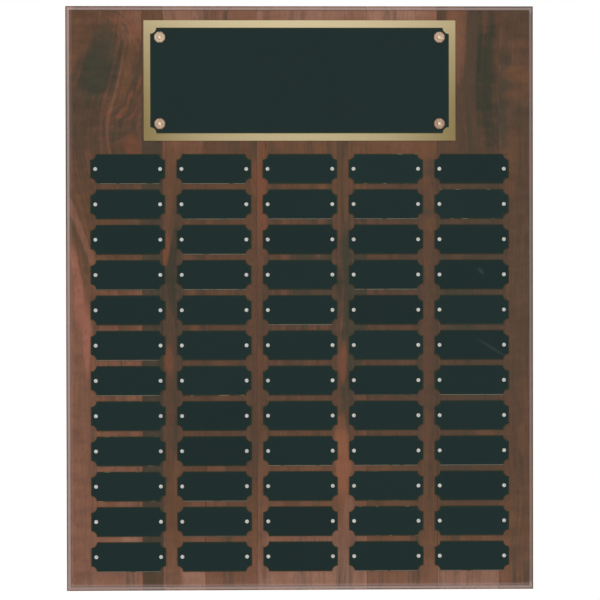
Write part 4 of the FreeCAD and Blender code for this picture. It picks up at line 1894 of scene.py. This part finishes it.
@dataclass
class Header(Plates):
    """The header plate on its brass backing, with a rosette and a pin at each corner."""

    finish: BlackBrassFinish = BlackBrassFinish(
        half_width=129.45,
        half_height=45.7,
        scoop=5.3,
        pitch=(1000.0, 1000.0),
        middle=(0.0, 189.0),
        lacquer=linear(36, 47, 46, veil=BLACK_VEIL),
        title="black_lacquered_header",
    )
    backing_finish: MetalFinish = MetalFinish(
        title="satin_brass_sheet",
        slot="satin_brass",
        metal=linear(144, 127, 84),
        tarnish=linear(136, 119, 78),
        roughness=0.38,
        brushing=Brushing.ACROSS,
        coat=0.2,
        cloud_size=60.0,
        # A painted highlight on the brass border, strongest at the top in the middle.
        sheen=Sheen(metal=linear(214, 198, 158), foot=138.8, top=239.2, side=132.0),
    )
    rosette_finish: RosetteFinish = RosetteFinish()
    pin_finish: MetalFinish = MetalFinish(
        title="copper_washed_pin",
        slot="rosette_brass",
        metal=linear(238, 214, 186),
        tarnish=linear(150, 112, 92),
        roughness=0.26,
        tarnish_share=0.3,
        # Some painted shade round the rim of each pin's head.
        rim_share=0.25,
        cloud_size=2.0,
    )

    def build(self) -> None:
        """Build and dress the plates, rosettes and pins."""
        backing = self.backing_finish
        self.build_plate("header_backing_plate", backing.material(), backing.slot)
        self.build_plate("header_plate", self.finish.material(), self.finish.slot)
        self.dress_node("header_rosette_pins", self.pin_finish.material())
        brass = self.rosette_finish.material()
        pattern = Rosette().build()
        for corner in range(1, 5):
            node = f"header_rosette_{corner}"
            low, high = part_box(node)
            piece = Bench.copy_of(pattern, f"{node}_stamped")
            middle = (low + high) / 2
            Bench.move(piece, Vector((middle.x, high.y, middle.z)))
            self.stand_in(piece, brass, self.rosette_finish.slot, node)
        bpy.data.objects.remove(pattern)


@dataclass
class Hanger(Assembly):
    """The steel keyhole plate let into the back, and its two screws."""

    nodes: Mapping[str, bpy.types.Object]
    finish: MetalFinish = MetalFinish(
        title="zinc_plated_steel",
        slot="zinc_steel",
        metal=linear(178, 180, 182),
        tarnish=linear(132, 134, 136),
        roughness=0.4,
        cloud_size=5.0,
    )

    def build(self) -> None:
        """Dress the plate and the screws."""
        zinc = self.finish.material()
        self.dress_node("keyhole_hanger_plate", zinc)
        self.dress_node("hanger_screws", zinc)


@dataclass(frozen=True)
class SoftBox:
    """A square studio lamp that points at the plaque. Sizes in metres.

    mirrored says whether the lamp shows in metal and lacquer.
    """

    name: str
    place: tuple[float, float, float]
    size: float
    power: float
    mirrored: bool = False


@dataclass
class Studio:
    """The floor, the lamps, the world and the camera. Sizes in metres, turns in degrees."""

    floor_drop: float = 0.14
    floor_size: float = 9.0
    distance: float = 1.6
    camera_x: float = -0.0279
    camera_z: float = 0.0136
    pitch: float = -0.539
    roll: float = 0.110
    yaw: float = -1.008
    lens: float = 109.26
    sensor: float = 36.0
    world_level: float = 0.62
    lamps: tuple[SoftBox, ...] = (
        SoftBox("key_lamp", (-0.9, -1.5, 1.1), 0.9, 9.0),
        SoftBox("fill_lamp", (1.1, -1.6, 0.4), 1.1, 6.0),
        SoftBox("low_lamp", (0.2, -1.4, -0.25), 0.9, 5.0),
        SoftBox("spark_lamp", (-0.6, -1.2, 0.9), 0.25, 1.0, mirrored=True),
    )

    def build(self) -> None:
        """Set up the studio."""
        self.build_floor()
        self.build_world()
        for lamp in self.lamps:
            self.build_lamp(lamp)
        self.build_camera()
        bpy.context.scene.view_settings.view_transform = "Standard"

    def build_floor(self) -> None:
        """Lay a pale floor some way below the hanging plaque."""
        Bench.clear()
        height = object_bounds()[0].z - self.floor_drop
        bpy.ops.mesh.primitive_plane_add(size=self.floor_size, location=(0, 0, height))
        floor = bpy.context.object
        floor.name = "floor"
        floor.data.materials.append(FloorFinish().material())
        floor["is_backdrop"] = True

    def build_world(self) -> None:
        """Light from all round, which the eye and mirrors see as plain white."""
        world = bpy.data.worlds.new("studio")
        bpy.context.scene.world = world
        shader = Shader(world)
        dim = shader.node("ShaderNodeBackground", inputs={0: WHITE, 1: self.world_level})
        full = shader.node("ShaderNodeBackground", inputs={0: WHITE, 1: 1.0})
        inputs = {0: shown_to_eye(shader), 1: dim, 2: full}
        shader.surface(shader.node("ShaderNodeMixShader", inputs=inputs))

    def build_lamp(self, lamp: SoftBox) -> None:
        """Hang one lamp, pointed at the plaque's middle.

        Args:
            lamp: The lamp's place, size and power.
        """
        light = bpy.data.lights.new(lamp.name, "AREA")
        light.shape = "SQUARE"
        light.size = lamp.size
        light.energy = lamp.power
        held = bpy.data.objects.new(lamp.name, light)
        bpy.context.scene.collection.objects.link(held)
        held.visible_glossy = lamp.mirrored
        held.location = lamp.place
        held.rotation_euler = (-Vector(lamp.place)).to_track_quat("-Z", "Y").to_euler()

    def build_camera(self) -> None:
        """Stand the camera where the photograph was taken from."""
        camera = bpy.data.cameras.new("camera")
        camera.sensor_width = self.sensor
        camera.lens = self.lens
        held = bpy.data.objects.new("camera", camera)
        bpy.context.scene.collection.objects.link(held)
        held.location = (self.camera_x, -self.distance, self.camera_z)
        turned = (90.0 + self.pitch, self.roll, self.yaw)
        held.rotation_euler = [math.radians(angle) for angle in turned]
        bpy.context.scene.camera = held


def main() -> None:
    """Build the plaque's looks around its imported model."""
    logging.basicConfig(level=logging.INFO, format="%(name)s: %(message)s")
    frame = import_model()
    nodes = frame["nodes"]
    for assembly in (Board(nodes), NamePlates(nodes), Header(nodes), Hanger(nodes)):
        log.info("building the %s", type(assembly).__name__)
        assembly.build()
    Studio().build()
    Bench.clear()


if __name__ == "__main__":
    main()
